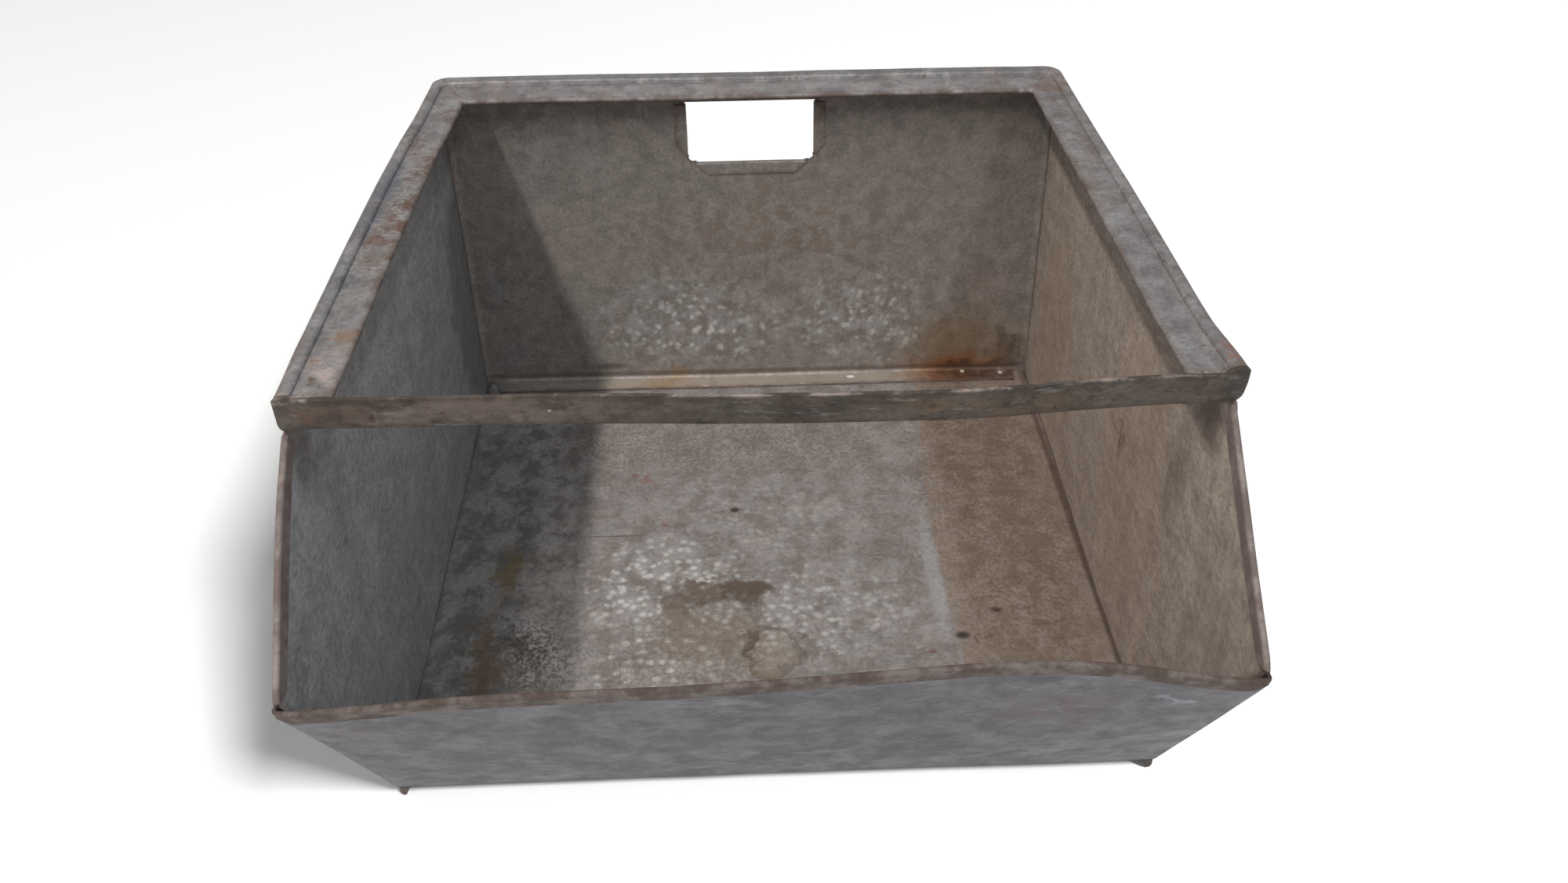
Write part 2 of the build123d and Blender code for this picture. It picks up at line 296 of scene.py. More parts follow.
def cutAtLines(loop, linesU, linesV):
    # the outline gets a point wherever a grid line crosses it, so bends stay true at the sheet's edge
    points = []
    for a, b in zip(loop, loop[1:] + loop[:1]):
        cuts = [0.0]
        for axis, lines in ((0, linesU), (1, linesV)):
            low, high = sorted((a[axis], b[axis]))
            if high - low > 1e-6:
                cuts += [(s - a[axis]) / (b[axis] - a[axis]) for s in lines if low + 1e-4 < s < high - 1e-4]
        kept = []
        length = math.dist(a, b)
        for t in sorted(cuts):
            if not kept or (t - kept[-1]) * length > 0.12:
                kept.append(t)
        points += [(a[0] + (b[0] - a[0]) * t, a[1] + (b[1] - a[1]) * t) for t in kept]
    return points


def flatBlank(outline, holes, linesU, linesV, clear=0.9):
    # a cut blank, meshed on its grid lines: points and triangles in the flat
    loops = [cutAtLines(loop, linesU, linesV) for loop in [outline] + holes]
    points, edges = [], []
    for loop in loops:
        first = len(points)
        points += loop
        edges += [(first + i, first + (i + 1) % len(loop)) for i in range(len(loop))]
    for u in linesU:
        for v in linesV:
            if not insideLoop((u, v), outline) or any(insideLoop((u, v), hole) for hole in holes):
                continue
            if loopDistance((u, v), [outline] + holes) > clear:
                points.append((u, v))
    result = delaunay_2d_cdt([Vector(p) for p in points], edges, [], 4, 1e-5)
    flat = [(p.x, p.y) for p in result[0]]
    faces = []
    for face in result[2]:
        middle = [sum(flat[i][k] for i in face) / len(face) for k in (0, 1)]
        if insideLoop(middle, outline) and not any(insideLoop(middle, hole) for hole in holes):
            faces.append(tuple(face))
    used = sorted({i for face in faces for i in face})
    place = {old: new for new, old in enumerate(used)}
    return [flat[i] for i in used], [tuple(place[i] for i in face) for face in faces], loops


def rubFrom(flat, loops, reach):
    # 1 on a cut edge, falling to 0 at the given reach
    return [clamp(1 - loopDistance(p, loops) / reach) for p in flat]


def quarterTurn(count):
    return [math.pi / 2 * i / count for i in range(count + 1)]


def mirrored(side):
    return side + [(-u, v) for u, v in reversed(side)]


def gridFaces(count, wide, first=0, closed=False):
    # quads between count + 1 rows of points
    faces = []
    for i in range(count):
        for j in range(wide if closed else wide - 1):
            a, b = first + i * wide + j, first + i * wide + (j + 1) % wide
            faces.append((a, b, b + wide, a + wide))
    return faces


def faceOutward(piece):
    mesh = bmesh.new()
    mesh.from_mesh(piece.data)
    bmesh.ops.recalc_face_normals(mesh, faces=mesh.faces[:])
    mesh.to_mesh(piece.data)
    mesh.free()


# ---- materials

def linear(code):
    channels = [int(code[i:i + 2], 16) / 255 for i in (1, 3, 5)]
    return tuple(c / 12.92 if c <= 0.04045 else ((c + 0.055) / 1.055) ** 2.4 for c in channels) + (1.0,)


def addNode(tree, kind, settings=None, inputs=()):
    # inputs: in the order of the node's live sockets, or by name; each is a plain value, a socket or a node
    node = tree.nodes.new("ShaderNode" + kind)
    for name, value in (settings or {}).items():
        setattr(node, name, value)
    byName = isinstance(inputs, dict)
    live = [socket for socket in node.inputs if socket.enabled]
    for key, value in inputs.items() if byName else zip(live, inputs):
        socket = node.inputs[key] if byName else key
        if isinstance(value, bpy.types.Node):
            value = next(o for o in value.outputs if o.enabled)
        if isinstance(value, bpy.types.NodeSocket):
            tree.links.new(value, socket)
        else:
            socket.default_value = value
    return node


# settings that many nodes share
mixed = {"data_type": "RGBA", "clamp_factor": True}
tinted = {"data_type": "RGBA", "clamp_factor": True, "blend_type": "MULTIPLY"}
eased = {"interpolation_type": "SMOOTHSTEP"}
product = {"operation": "MULTIPLY"}
productPlus = {"operation": "MULTIPLY_ADD"}
scaled = {"operation": "SCALE"}


def markMask(add, place, row):
    # how strongly one placed mark covers the surface; place is object space in millimetres
    away = add("VectorMath", {"operation": "SUBTRACT"}, [place, row[0]])
    away = add("VectorMath", {"operation": "DIVIDE"}, [away, row[1]])
    radius = add("VectorMath", {"operation": "LENGTH"}, [away])
    if "ring" in " ".join(row[5:]):
        offRing = add("Math", {"operation": "SUBTRACT"}, [radius, 1.0])
        radius = add("Math", {"operation": "ABSOLUTE"}, [offRing])
        return add("MapRange", eased, [radius, row[3], 0.0, 0.0, row[2]])
    return add("MapRange", eased, [radius, 1.0, row[3], 0.0, row[2]])


def agedSheet(name, look):
    material = bpy.data.materials.new(name)
    material.use_nodes = True
    tree = material.node_tree
    tree.nodes.clear()
    add = functools.partial(addNode, tree)
    place = add("VectorMath", scaled, [add("TexCoord").outputs["Object"], 1 / mm])
    # raggedness for the marks' edges: 30 mm lobes down to 1 mm frays
    drift = add("TexNoise", {}, {"Vector": place, "Scale": 1 / 30, "Detail": 6.0, "Roughness": 0.7})
    drift = add("VectorMath", {"operation": "SUBTRACT"}, [drift.outputs["Color"], (0.5, 0.5, 0.5)])
    frayed = add("VectorMath", {"operation": "ADD"}, [place, add("VectorMath", scaled, [drift, 60.0])])

    # clouds of oxide, broken up down to 1 mm, from dark to light
    drawn = add("VectorMath", product, [place, look["cloudStretch"]])
    cloud = add("TexNoise", {}, {"Vector": drawn, "Scale": 1 / look["cloudSize"], "Detail": 7.0, "Roughness": 0.72,
                                 "Distortion": 0.25})
    cloudy = add("MapRange", eased, [cloud, 0.34, 0.66])
    colour = add("Mix", mixed, [cloudy, linear(look["dark"]), linear(look["light"])])
    # spangle: the zinc's crystals, about 8 mm across
    spangle = add("TexVoronoi", {}, {"Vector": frayed, "Scale": 1 / 8})
    crystal = add("SeparateColor", {}, [spangle.outputs["Color"]])
    shade = add("MapRange", eased, [crystal.outputs[0], 0.0, 1.0, 1 - look["spangle"], 1 + look["spangle"]])
    # grain about 2 mm across; the real one is finer and would not show
    grain = add("TexNoise", {}, {"Vector": drawn, "Scale": 1 / 2.0, "Detail": 2.5, "Roughness": 0.7})
    coarse = add("MapRange", eased, [grain, 0.25, 0.75, 1 - look["grain"], 1 + look["grain"]])
    shade = add("Math", product, [shade, coarse])
    colour = add("Mix", tinted, [1.0, colour, add("CombineColor", {}, [shade, shade, shade])])
    # streaks of handling and wash water, drawn out along one direction
    stretch = add("VectorMath", product, [place, look["streakScale"]])
    streak = add("TexNoise", {}, {"Vector": stretch, "Scale": 1.0, "Detail": 4.0, "Roughness": 0.7})
    dirty = add("MapRange", eased, [streak, 0.48, 0.7, 0.0, look["streak"]])
    colour = add("Mix", mixed, [dirty, colour, linear(look["streakColour"])])
    washed = add("MapRange", eased, [streak, 0.44, 0.26, 0.0, look["streak"] * 0.6])
    colour = add("Mix", mixed, [washed, colour, linear(look["bloom"])])
    # white bloom in flecks about 5 mm across, only where the look lists it
    fleckPlace = add("VectorMath", product, [place, look["fleckStretch"]])
    fleck = add("TexVoronoi", {"feature": "SMOOTH_F1"}, {"Vector": fleckPlace, "Scale": 1 / look["fleckSize"],
                                                         "Smoothness": 0.4})
    frayedFleck = add("Math", productPlus, [grain, 0.7, fleck.outputs["Distance"]])
    fleckMask = add("Math", product, [add("MapRange", eased, [frayedFleck, 0.84, 0.52]),
                                      add("MapRange", eased, [cloud, 0.37, 0.53])])
    area = None
    for row in look["bloomSpots"]:
        mask = markMask(add, frayed, row)
        area = mask if area is None else add("Math", {"operation": "MAXIMUM"}, [area, mask])
    if area is not None:
        haze = add("Math", product, [area, add("MapRange", eased, [cloud, 0.42, 0.62, 0.0, 0.55])])
        colour = add("Mix", mixed, [haze, colour, linear(look["haze"])])
        fleckMask = add("Math", product, [fleckMask, area])
    # rust, dirt and scratches, and painted shade and light, where the look lists them
    for row in look["stainsAndPaintedShading"]:
        kind = " ".join(row[5:])
        mask = markMask(add, place if "crisp" in kind else frayed, row)
        if "speckled" in kind:
            mask = add("Math", product, [mask, add("MapRange", eased, [cloud, 0.56, 0.44])])
        if "peppered" in kind:
            mask = add("Math", product, [mask, add("MapRange", eased, [grain, 0.56, 0.42])])
        colour = add("Mix", mixed, [mask, colour, linear(row[4])])
        if "covers" in kind:
            bare = add("MapRange", eased, [mask, 0.0, 0.5, 1.0, 0.15])
            fleckMask = add("Math", product, [fleckMask, bare])
    if area is not None:
        colour = add("Mix", mixed, [fleckMask, colour, linear(look["bloom"])])
    # pinholes of rust anywhere
    pin = add("TexNoise", {}, {"Vector": place, "Scale": 1 / 6.0, "Detail": 4.0, "Roughness": 0.65})
    pinned = add("MapRange", eased, [pin, look["pinFrom"], look["pinFrom"] + 0.06, 0.0, 0.75])
    colour = add("Mix", mixed, [pinned, colour, linear(look["pinColour"])])
    # cut edges and folds: browned, with worn places rubbed pale
    rub = add("Attribute", {"attribute_name": "rub"}).outputs["Fac"]
    patchy = add("MapRange", eased, [cloud, 0.35, 0.62, 1.0, look["edgeGaps"]])
    edgeMask = add("Math", product, [add("MapRange", eased, [rub, 0.15, 0.85, 0.0, look["edge"]]), patchy])
    colour = add("Mix", mixed, [edgeMask, colour, linear(look["edgeColour"])])
    worn = add("Math", product, [add("MapRange", eased, [rub, 0.6, 0.95]),
                                 add("MapRange", eased, [cloud, 0.46, 0.6, 0.0, look["edgeShine"]])])
    colour = add("Mix", mixed, [worn, colour, linear(look["shineColour"])])

    # height for the bump in millimetres: shallow hammering, pits and grain
    height = add("Math", product, [pin, 0.3])
    for source, depth in ((grain, 0.08), (cloud, look["swell"]), (fleckMask, 0.15)):
        height = add("Math", productPlus, [source, depth, height])
    bump = add("Bump", {}, {"Strength": 0.55, "Distance": mm, "Height": height})
    # dirt and oxide are rough; handled zinc is smoother and shows more metal
    smoothest, roughest = look["rough"]
    rough = add("MapRange", eased, [cloud, 0.3, 0.7, roughest, smoothest])
    metal = add("MapRange", eased, [streak, 0.35, 0.65, look["metallic"][1], look["metallic"][0]])
    # browned edges are rough and hardly metallic, so a fold carries no white line
    rough = add("Math", {"operation": "MULTIPLY_ADD", "use_clamp": True}, [edgeMask, 0.38, rough])
    metal = add("Math", product, [metal, add("MapRange", eased, [edgeMask, 0.0, 1.0, 1.0, 0.0])])
    shader = add("BsdfPrincipled", {}, {"Base Color": colour, "Roughness": rough, "Metallic": metal, "Normal": bump})
    add("OutputMaterial", {}, [shader])
    return material


# A mark is (middle, half size) in mm, strength, its solid share or a ring's width, colour, and its kind: crisp has no
# ragged edge, speckled and peppered are broken up by the clouds or the grain, and covers hides the white flecks.

# hot-dipped galvanised sheet, dulled by years of oxide: warm mid grey, broken tone, spangle just showing
zincBase = {
    "dark": "#7b7571", "light": "#a19b97", "spangle": 0.04, "grain": 0.2, "streakScale": (0.05, 0.05, 0.006),
    "streak": 0.35, "streakColour": "#6f6055", "bloom": "#c9c6c2", "haze": "#a9a6a4", "edge": 0.75,
    "edgeColour": "#57453b", "edgeShine": 0.6, "shineColour": "#a3958c", "rough": (0.46, 0.66),
    "metallic": (0.2, 0.45),
    "cloudSize": 45.0, "cloudStretch": (1, 1, 1), "fleckStretch": (1, 1, 1), "fleckSize": 5.5, "edgeGaps": 0.45,
    "pinFrom": 0.68, "pinColour": "#4d3428", "swell": 1.2, "bloomSpots": [], "stainsAndPaintedShading": [],
}

floorLook = dict(zincBase, **{
    "dark": "#726c68", "light": "#8e8987", "streakScale": (0.03, 0.2, 0.2), "streak": 0.36, "streakColour": "#6e6157",
    "cloudSize": 16.0, "cloudStretch": (1.0, 0.85, 1.0), "fleckStretch": (0.9, 1.0, 1.0), "fleckSize": 5.5,
    "edge": 0.95, "edgeColour": "#3a2d27", "edgeShine": 0.08, "edgeGaps": 0.85,
    "bloomSpots": [
        ((-62, 0, 12), (75, 62, 60), 0.85, 0.2),
        ((30, -30, 12), (95, 70, 60), 0.5, 0.2),
        ((-70, -70, 12), (60, 45, 60), 0.7, 0.2),
        ((0, 60, 12), (110, 70, 60), 0.25, 0.2),
    ],
    "stainsAndPaintedShading": [
        # the right-hand strip: the right wall's shadow painted as a brown band with a crisp edge on the shadow's
        # line, partly also browned by rusty water and speckled; the back of the floor a little browned too
        ((161, 20, 12), (54, 330, 60), 0.3, 0.94, "#86694c", "crisp"),
        ((150, 60, 12), (60, 220, 60), 0.4, 0.5, "#6b5440", "peppered"),
        ((155, 60, 12), (50, 200, 60), 0.4, 0.5, "#665a50", "speckled"),
        ((-30, 140, 12), (170, 45, 60), 0.4, 0.3, "#6d5a4a", "peppered"),
        # the left-hand strip, where the left wall's shadow falls, darkened in speckles: partly painted shade, partly
        # dark dirt
        ((-155, 60, 12), (50, 300, 60), 0.45, 0.5, "#4c4944", "speckled"),
        # a pale bluish line along the right-hand shadow's edge: painted light
        ((103, 0, 12), (7, 75, 9), 0.35, 0.3, "#a9abb0", "crisp"),
        # brown water mark near the mouth, darker along its rim
        ((-35, -62, 12), (66, 46, 40), 0.5, 0.5, "#74634f", "peppered"),
        ((-35, -42, 12), (34, 26, 40), 0.4, 0.7, "#766859"),
        ((-38, -10, 12), (21, 10, 40), 0.8, 0.5, "#5a4c40", "covers"),
        ((-12, -12, 12), (22, 15, 40), 0.85, 0.5, "#54463a", "covers"),
        ((-54, -22, 12), (8, 13, 40), 0.75, 0.4, "#5e4f42", "covers"),
        ((-13, -54, 12), (7, 24, 40), 0.75, 0.4, "#57493c", "covers"),
        ((5, -63, 12), (17, 20, 40), 0.55, 0.3, "#574739", "ring covers"),
        ((5, -66, 12), (17, 20, 40), 0.3, 0.6, "#8a7a63"),
        ((-84, -36, 12), (20, 7, 40), 0.6, 0.4, "#5a4838", "speckled covers"),
        # rust run and black scale on the left
        ((-156, 12, 12), (9, 34, 40), 0.6, 0.3, "#75603a"),
        ((-161, -60, 12), (11, 56, 40), 0.65, 0.3, "#6b5036"),
        ((-130, -55, 12), (32, 50, 40), 0.65, 0.2, "#2f2a27", "peppered"),
        ((-133, -48, 12), (16, 30, 40), 0.5, 0.2, "#3a3431", "speckled"),
        # single spots
        ((113, -53, 12), (6.5, 4.5, 9), 0.9, 0.3, "#2e2421", "crisp covers"),
        ((121, -52, 12), (4, 3, 9), 0.6, 0.3, "#5c3427"),
        ((136, -33, 12), (4.5, 3.5, 9), 0.8, 0.3, "#3b2b25", "crisp"),
        ((-17, 66, 12), (3.5, 3, 9), 0.9, 0.6, "#3b2b27", "crisp"),
        ((-79, 102, 12), (7, 5, 9), 0.6, 0.2, "#7a4034"),
        ((-62, 53, 12), (3, 2.5, 9), 0.5, 0.3, "#8a5040", "crisp"),
        ((94, -65, 12), (3.5, 2.5, 9), 0.7, 0.3, "#6e4030", "crisp"),
        ((-95, 43.5, 12), (26, 0.8, 9), 0.75, 0.5, "#463c36", "crisp"),
        # dirt packed into the seams
        ((198, 20, 12), (3.5, 330, 7), 0.7, 0.3, "#4a3930", "crisp"),
        ((-197, 20, 12), (3.5, 330, 7), 0.6, 0.3, "#3f362f", "crisp"),
    ],
})

sideBase = dict(zincBase, **{
    "dark": "#7f7b77", "light": "#9c9893", "streakScale": (0.07, 0.12, 0.014), "streak": 0.2,
    "cloudStretch": (1, 0.55, 1.05),
    "cloudSize": 14.0, "swell": 0.4, "grain": 0.26, "edgeShine": 0.35, "shineColour": "#8f8079",
})

# the left wall: the same zinc as the right, painted cooler and darker as the side the warm lamp does not reach:
# painted shade
leftShadedLook = dict(sideBase, **{
    "dark": "#858688", "light": "#999a9c", "streakColour": "#777a7a",
    "stainsAndPaintedShading": [
        # a dark zone low towards the back: painted shade
        ((-197, 205, 95), (30, 62, 90), 0.4, 0.75, "#4f4f50"),
        # darker below the rim's front corner and the crossbar's end, running down and back: painted shade
        ((-197, -126, 212), (30, 20, 36), 0.7, 0.0, "#4a443d"),
        ((-197, -105, 175), (30, 20, 46), 0.3, 0.0, "#4b463f"),
        ((-197, -196, 146), (30, 14, 14), 0.4, 0.2, "#5b524b", "speckled"),
        ((-197, 216, 120), (8, 4, 160), 0.8, 0.3, "#3c322c", "crisp"),
        ((-194, 20, 13.5), (12, 330, 2.2), 0.8, 0.3, "#423730", "crisp"),
        ((-197, 30, 242), (12, 300, 9), 0.5, 0.2, "#4a423b", "crisp"),
    ],
})

# the right wall: the same zinc as the left, painted lighter and warmer as the side the warm lamp falls on: painted
# light, with brown stains of its own
rightLitLook = dict(sideBase, **{
    "dark": "#92857b", "light": "#ada197", "streakColour": "#8b7461", "edgeShine": 0.1,
    "edgeColour": "#4b3b33", "edge": 0.9, "edgeGaps": 0.8,
    "stainsAndPaintedShading": [
        ((197, -40, 120), (30, 70, 110), 0.3, 0.3, "#9c7d60"),
        ((197, -165, 110), (30, 45, 90), 0.35, 0.3, "#87827e"),
        ((197, 150, 90), (30, 60, 120), 0.25, 0.3, "#a08870"),
        # darker below the rim's front corner and the crossbar's end, running down and back: painted shade
        ((197, -114, 210), (30, 24, 32), 0.7, 0.0, "#4a4038"),
        ((197, -96, 160), (30, 22, 52), 0.5, 0.0, "#5b5148"),
        ((197, -17, 120), (20, 4, 22), 0.6, 0.3, "#5c4130"),
        ((197, 216, 120), (8, 4, 160), 0.7, 0.3, "#40342c", "crisp"),
        ((198, 20, 13.5), (12, 330, 2.2), 0.8, 0.3, "#4a3a2f", "crisp"),
    ],
})

backLook = dict(zincBase, **{
    "dark": "#77716c", "light": "#8e8883", "streakScale": (0.03, 0.03, 0.02), "streak": 0.3,
    "streakColour": "#705f52",
    "cloudSize": 13.0, "haze": "#a9abae", "fleckSize": 6.0, "edgeShine": 0.1,
    "bloomSpots": [
        ((-45, 222, 60), (95, 60, 50), 0.75, 0.2),
        ((75, 222, 62), (75, 60, 50), 0.65, 0.2),
    ],
    "stainsAndPaintedShading": [
        ((10, 222, 130), (130, 60, 42), 0.35, 0.3, "#78634f", "speckled"),
        ((0, 214, 14), (186, 9, 4), 0.75, 0.6, "#9c9083", "crisp"),
        # rust bleeding from the right-hand foot corner
        ((148, 222, 36), (62, 40, 40), 0.5, 0.2, "#80653a"),
        ((152, 222, 20), (54, 40, 18), 0.75, 0.2, "#85522a"),
        ((165, 222, 14), (44, 40, 9), 0.75, 0.3, "#3d2a1f"),
        ((188, 222, 30), (12, 40, 22), 0.6, 0.2, "#3f342c"),
        ((128, 206, 13), (24, 9, 6), 0.7, 0.3, "#7a4626"),
        ((170, 209, 13), (36, 12, 6), 0.6, 0.3, "#4e382b"),
        ((-62, 214, 14), (34, 10, 6), 0.5, 0.3, "#8a6a3c"),
        ((-105, 222, 25), (18, 30, 4), 0.6, 0.2, "#3d3731", "crisp"),
        # faint arcs scratched by whatever was thrown in
        ((45, 222, 40), (75, 60, 78), 0.35, 0.03, "#5a5048", "ring"),
        # a dark band along the wall just under the ledge: painted shadow of the ledge
        ((0, 221, 222), (400, 40, 9), 0.4, 0.2, "#5a5048"),
        # a dark line along the foot's bend
        ((0, 223, 18), (400, 6, 3), 0.55, 0.3, "#54463b", "crisp"),
        # white chips on the foot
        ((71, 216, 14), (3.5, 2, 3), 0.95, 0.7, "#d9d6d0", "crisp"),
        ((155, 219, 14), (2, 2, 3), 0.95, 0.7, "#cfcbc4", "crisp"),
        ((183, 216, 14), (2, 2, 3), 0.95, 0.7, "#cfcbc4", "crisp"),
    ],
})

# the weathered outside: cooler and more even, with scuffs
outerLook = dict(zincBase, **{
    "dark": "#5d5c60", "light": "#6c6b6f", "streakScale": (0.02, 0.05, 0.05), "streak": 0.25,
    "streakColour": "#5f5554",
    "spangle": 0.03, "grain": 0.14, "swell": 0.6, "cloudSize": 20.0, "edgeShine": 0.2, "edgeGaps": 0.7,
})

lipLook = dict(outerLook, **{
    "dark": "#434145", "light": "#4e4d52", "streakColour": "#4c4344", "edge": 0.9, "edgeColour": "#3f322b",
    "edgeShine": 0.1, "edgeGaps": 0.8,
    "stainsAndPaintedShading": [
        ((125, -200, 104), (42, 30, 42), 0.4, 0.2, "#665054", "speckled"),
        ((136, -205, 121), (4, 4, 4), 0.7, 0.4, "#7c4844"),
        ((115, -218, 145), (6, 4, 2), 0.8, 0.4, "#3f3a3e"),
        ((172, -206, 123), (16, 8, 5), 0.6, 0.3, "#86848a"),
        ((150, -198, 108), (14, 8, 5), 0.5, 0.3, "#86848a"),
        ((-178, -205, 121), (14, 12, 14), 0.4, 0.3, "#766a69", "speckled"),
        ((0, -145, 12), (400, 12, 6), 0.75, 0.3, "#3f3636", "crisp"),
    ],
})

rimLook = dict(zincBase, **{
    "dark": "#5e5a5a", "light": "#7b7979", "streakScale": (0.04, 0.012, 0.05), "streak": 0.4,
    "streakColour": "#58493f",
    "edge": 0.75, "pinFrom": 0.64, "swell": 0.5, "cloudSize": 15.0, "edgeShine": 0.35, "edgeColour": "#4c3a30",
    "stainsAndPaintedShading": [
        ((-184, -112, 244), (14, 26, 9), 0.75, 0.3, "#a4958e", "speckled"),
        ((-184, -84, 244), (7, 10, 9), 0.55, 0.2, "#7d5a3a"),
        ((-190, -107, 244), (4, 5, 9), 0.6, 0.2, "#62402f"),
        ((-184, 50, 244), (13, 120, 9), 0.8, 0.3, "#543a2b", "speckled"),
        ((0, 204, 243), (190, 13, 9), 0.4, 0.5, "#8a8685"),
        ((-184, 50, 244), (13, 150, 9), 0.6, 0.3, "#4b3527", "peppered"),
        ((-182, 176, 244), (18, 38, 9), 0.6, 0.2, "#543b2e", "speckled"),
        ((-200, 30, 240), (8, 170, 14), 0.65, 0.5, "#50535a"),
        ((0, 224, 242), (400, 11, 12), 0.5, 0.6, "#5a5b62"),
        ((186, 196, 244), (26, 40, 9), 0.6, 0.2, "#684a3b", "speckled"),
        ((185, 90, 244), (8, 90, 9), 0.4, 0.2, "#6d564a", "speckled"),
        ((196, -118, 244), (4, 5, 9), 0.6, 0.2, "#7c4a36"),
        ((20, 191, 243), (200, 5, 5), 0.45, 0.2, "#5f4f46", "speckled"),
    ],
})

# plain mild steel strip, browned all over by thin rust and handling, with a pale worn top edge
barLook = dict(zincBase, **{
    "dark": "#332c27", "light": "#4f4842", "spangle": 0.0, "grain": 0.26,
    "streakScale": (0.03, 0.05, 0.16), "streak": 0.45,
    "streakColour": "#4c3a2b", "cloudSize": 20.0, "cloudStretch": (0.6, 1, 1.2), "edgeShine": 0.75,
    "shineColour": "#887c74",
    "edgeColour": "#2c241f", "rough": (0.45, 0.65), "metallic": (0.2, 0.5), "pinFrom": 0.62, "pinColour": "#3b2a20",
    "stainsAndPaintedShading": [
        ((-178, -137, 239), (17, 9, 6), 0.7, 0.5, "#4b3c32"),
        ((-192, -135, 233), (12, 12, 7), 0.6, 0.3, "#574032"),
        ((-165, -136, 231), (14, 12, 4), 0.6, 0.3, "#645c56"),
        ((-143, -137, 235), (3, 9, 9), 0.7, 0.3, "#4a3323"),
        ((-100, -137, 235), (3.5, 9, 3.5), 0.9, 0.5, "#2b2320"),
        ((-90, -138, 235), (0.9, 9, 0.9), 0.9, 0.4, "#b5b0a8", "crisp"),
        ((-115, -137, 235), (95, 12, 14), 0.5, 0.4, "#6b5f57"),
        ((100, -138, 234), (90, 12, 9), 0.4, 0.2, "#6d5a44", "speckled"),
    ],
})

# the runners drag on benches and other bins: dark, scuffed, brown at the ends
runnerLook = dict(outerLook, **{
    "dark": "#3a3534", "light": "#57504d", "streakScale": (0.1, 0.02, 0.1), "streak": 0.4, "streakColour": "#4a3427",
    "edgeShine": 0.5, "shineColour": "#7c736d",
})

weldLook = dict(zincBase, **{
    # weld metal left as struck: burnt brown-grey, glossier on the ripples
    "dark": "#4a4039", "light": "#7c7067", "spangle": 0.0, "streakScale": (0.1, 0.1, 0.1), "streak": 0.5,
    "streakColour": "#6b4630", "rough": (0.38, 0.6), "metallic": (0.5, 0.8), "cloudSize": 12.0,
})

floorZinc = agedSheet("galvanisedFloorSheet", floorLook)
leftZinc = agedSheet("galvanisedLeftSheet", leftShadedLook)
rightZinc = agedSheet("galvanisedRightSheet", rightLitLook)
backZinc = agedSheet("galvanisedBackSheet", backLook)
lipZinc = agedSheet("galvanisedLipFace", lipLook)
outerZinc = agedSheet("galvanisedOuterFace", outerLook)
rimZinc = agedSheet("rubbedRimZinc", rimLook)
barSteel = agedSheet("brownedSteelStrip", barLook)
runnerSteel = agedSheet("scuffedRunnerSteel", runnerLook)
weldSteel = agedSheet("burntWeldMetal", weldLook)
print("materials made")


# ---- floor and lip: one sheet, bent up at the front, with its top edge folded over outside

floorPan = {
    "bendRadius": 3.75,      # of the middle of the sheet
    "hemRadius": 0.85,
    "hem": 9.0,
    "flange": 12.0,          # upturned side flanges
    "flangeRadius": 1.5,
    "flangeRear": 197.5,
    "pitch": 5.5,
}


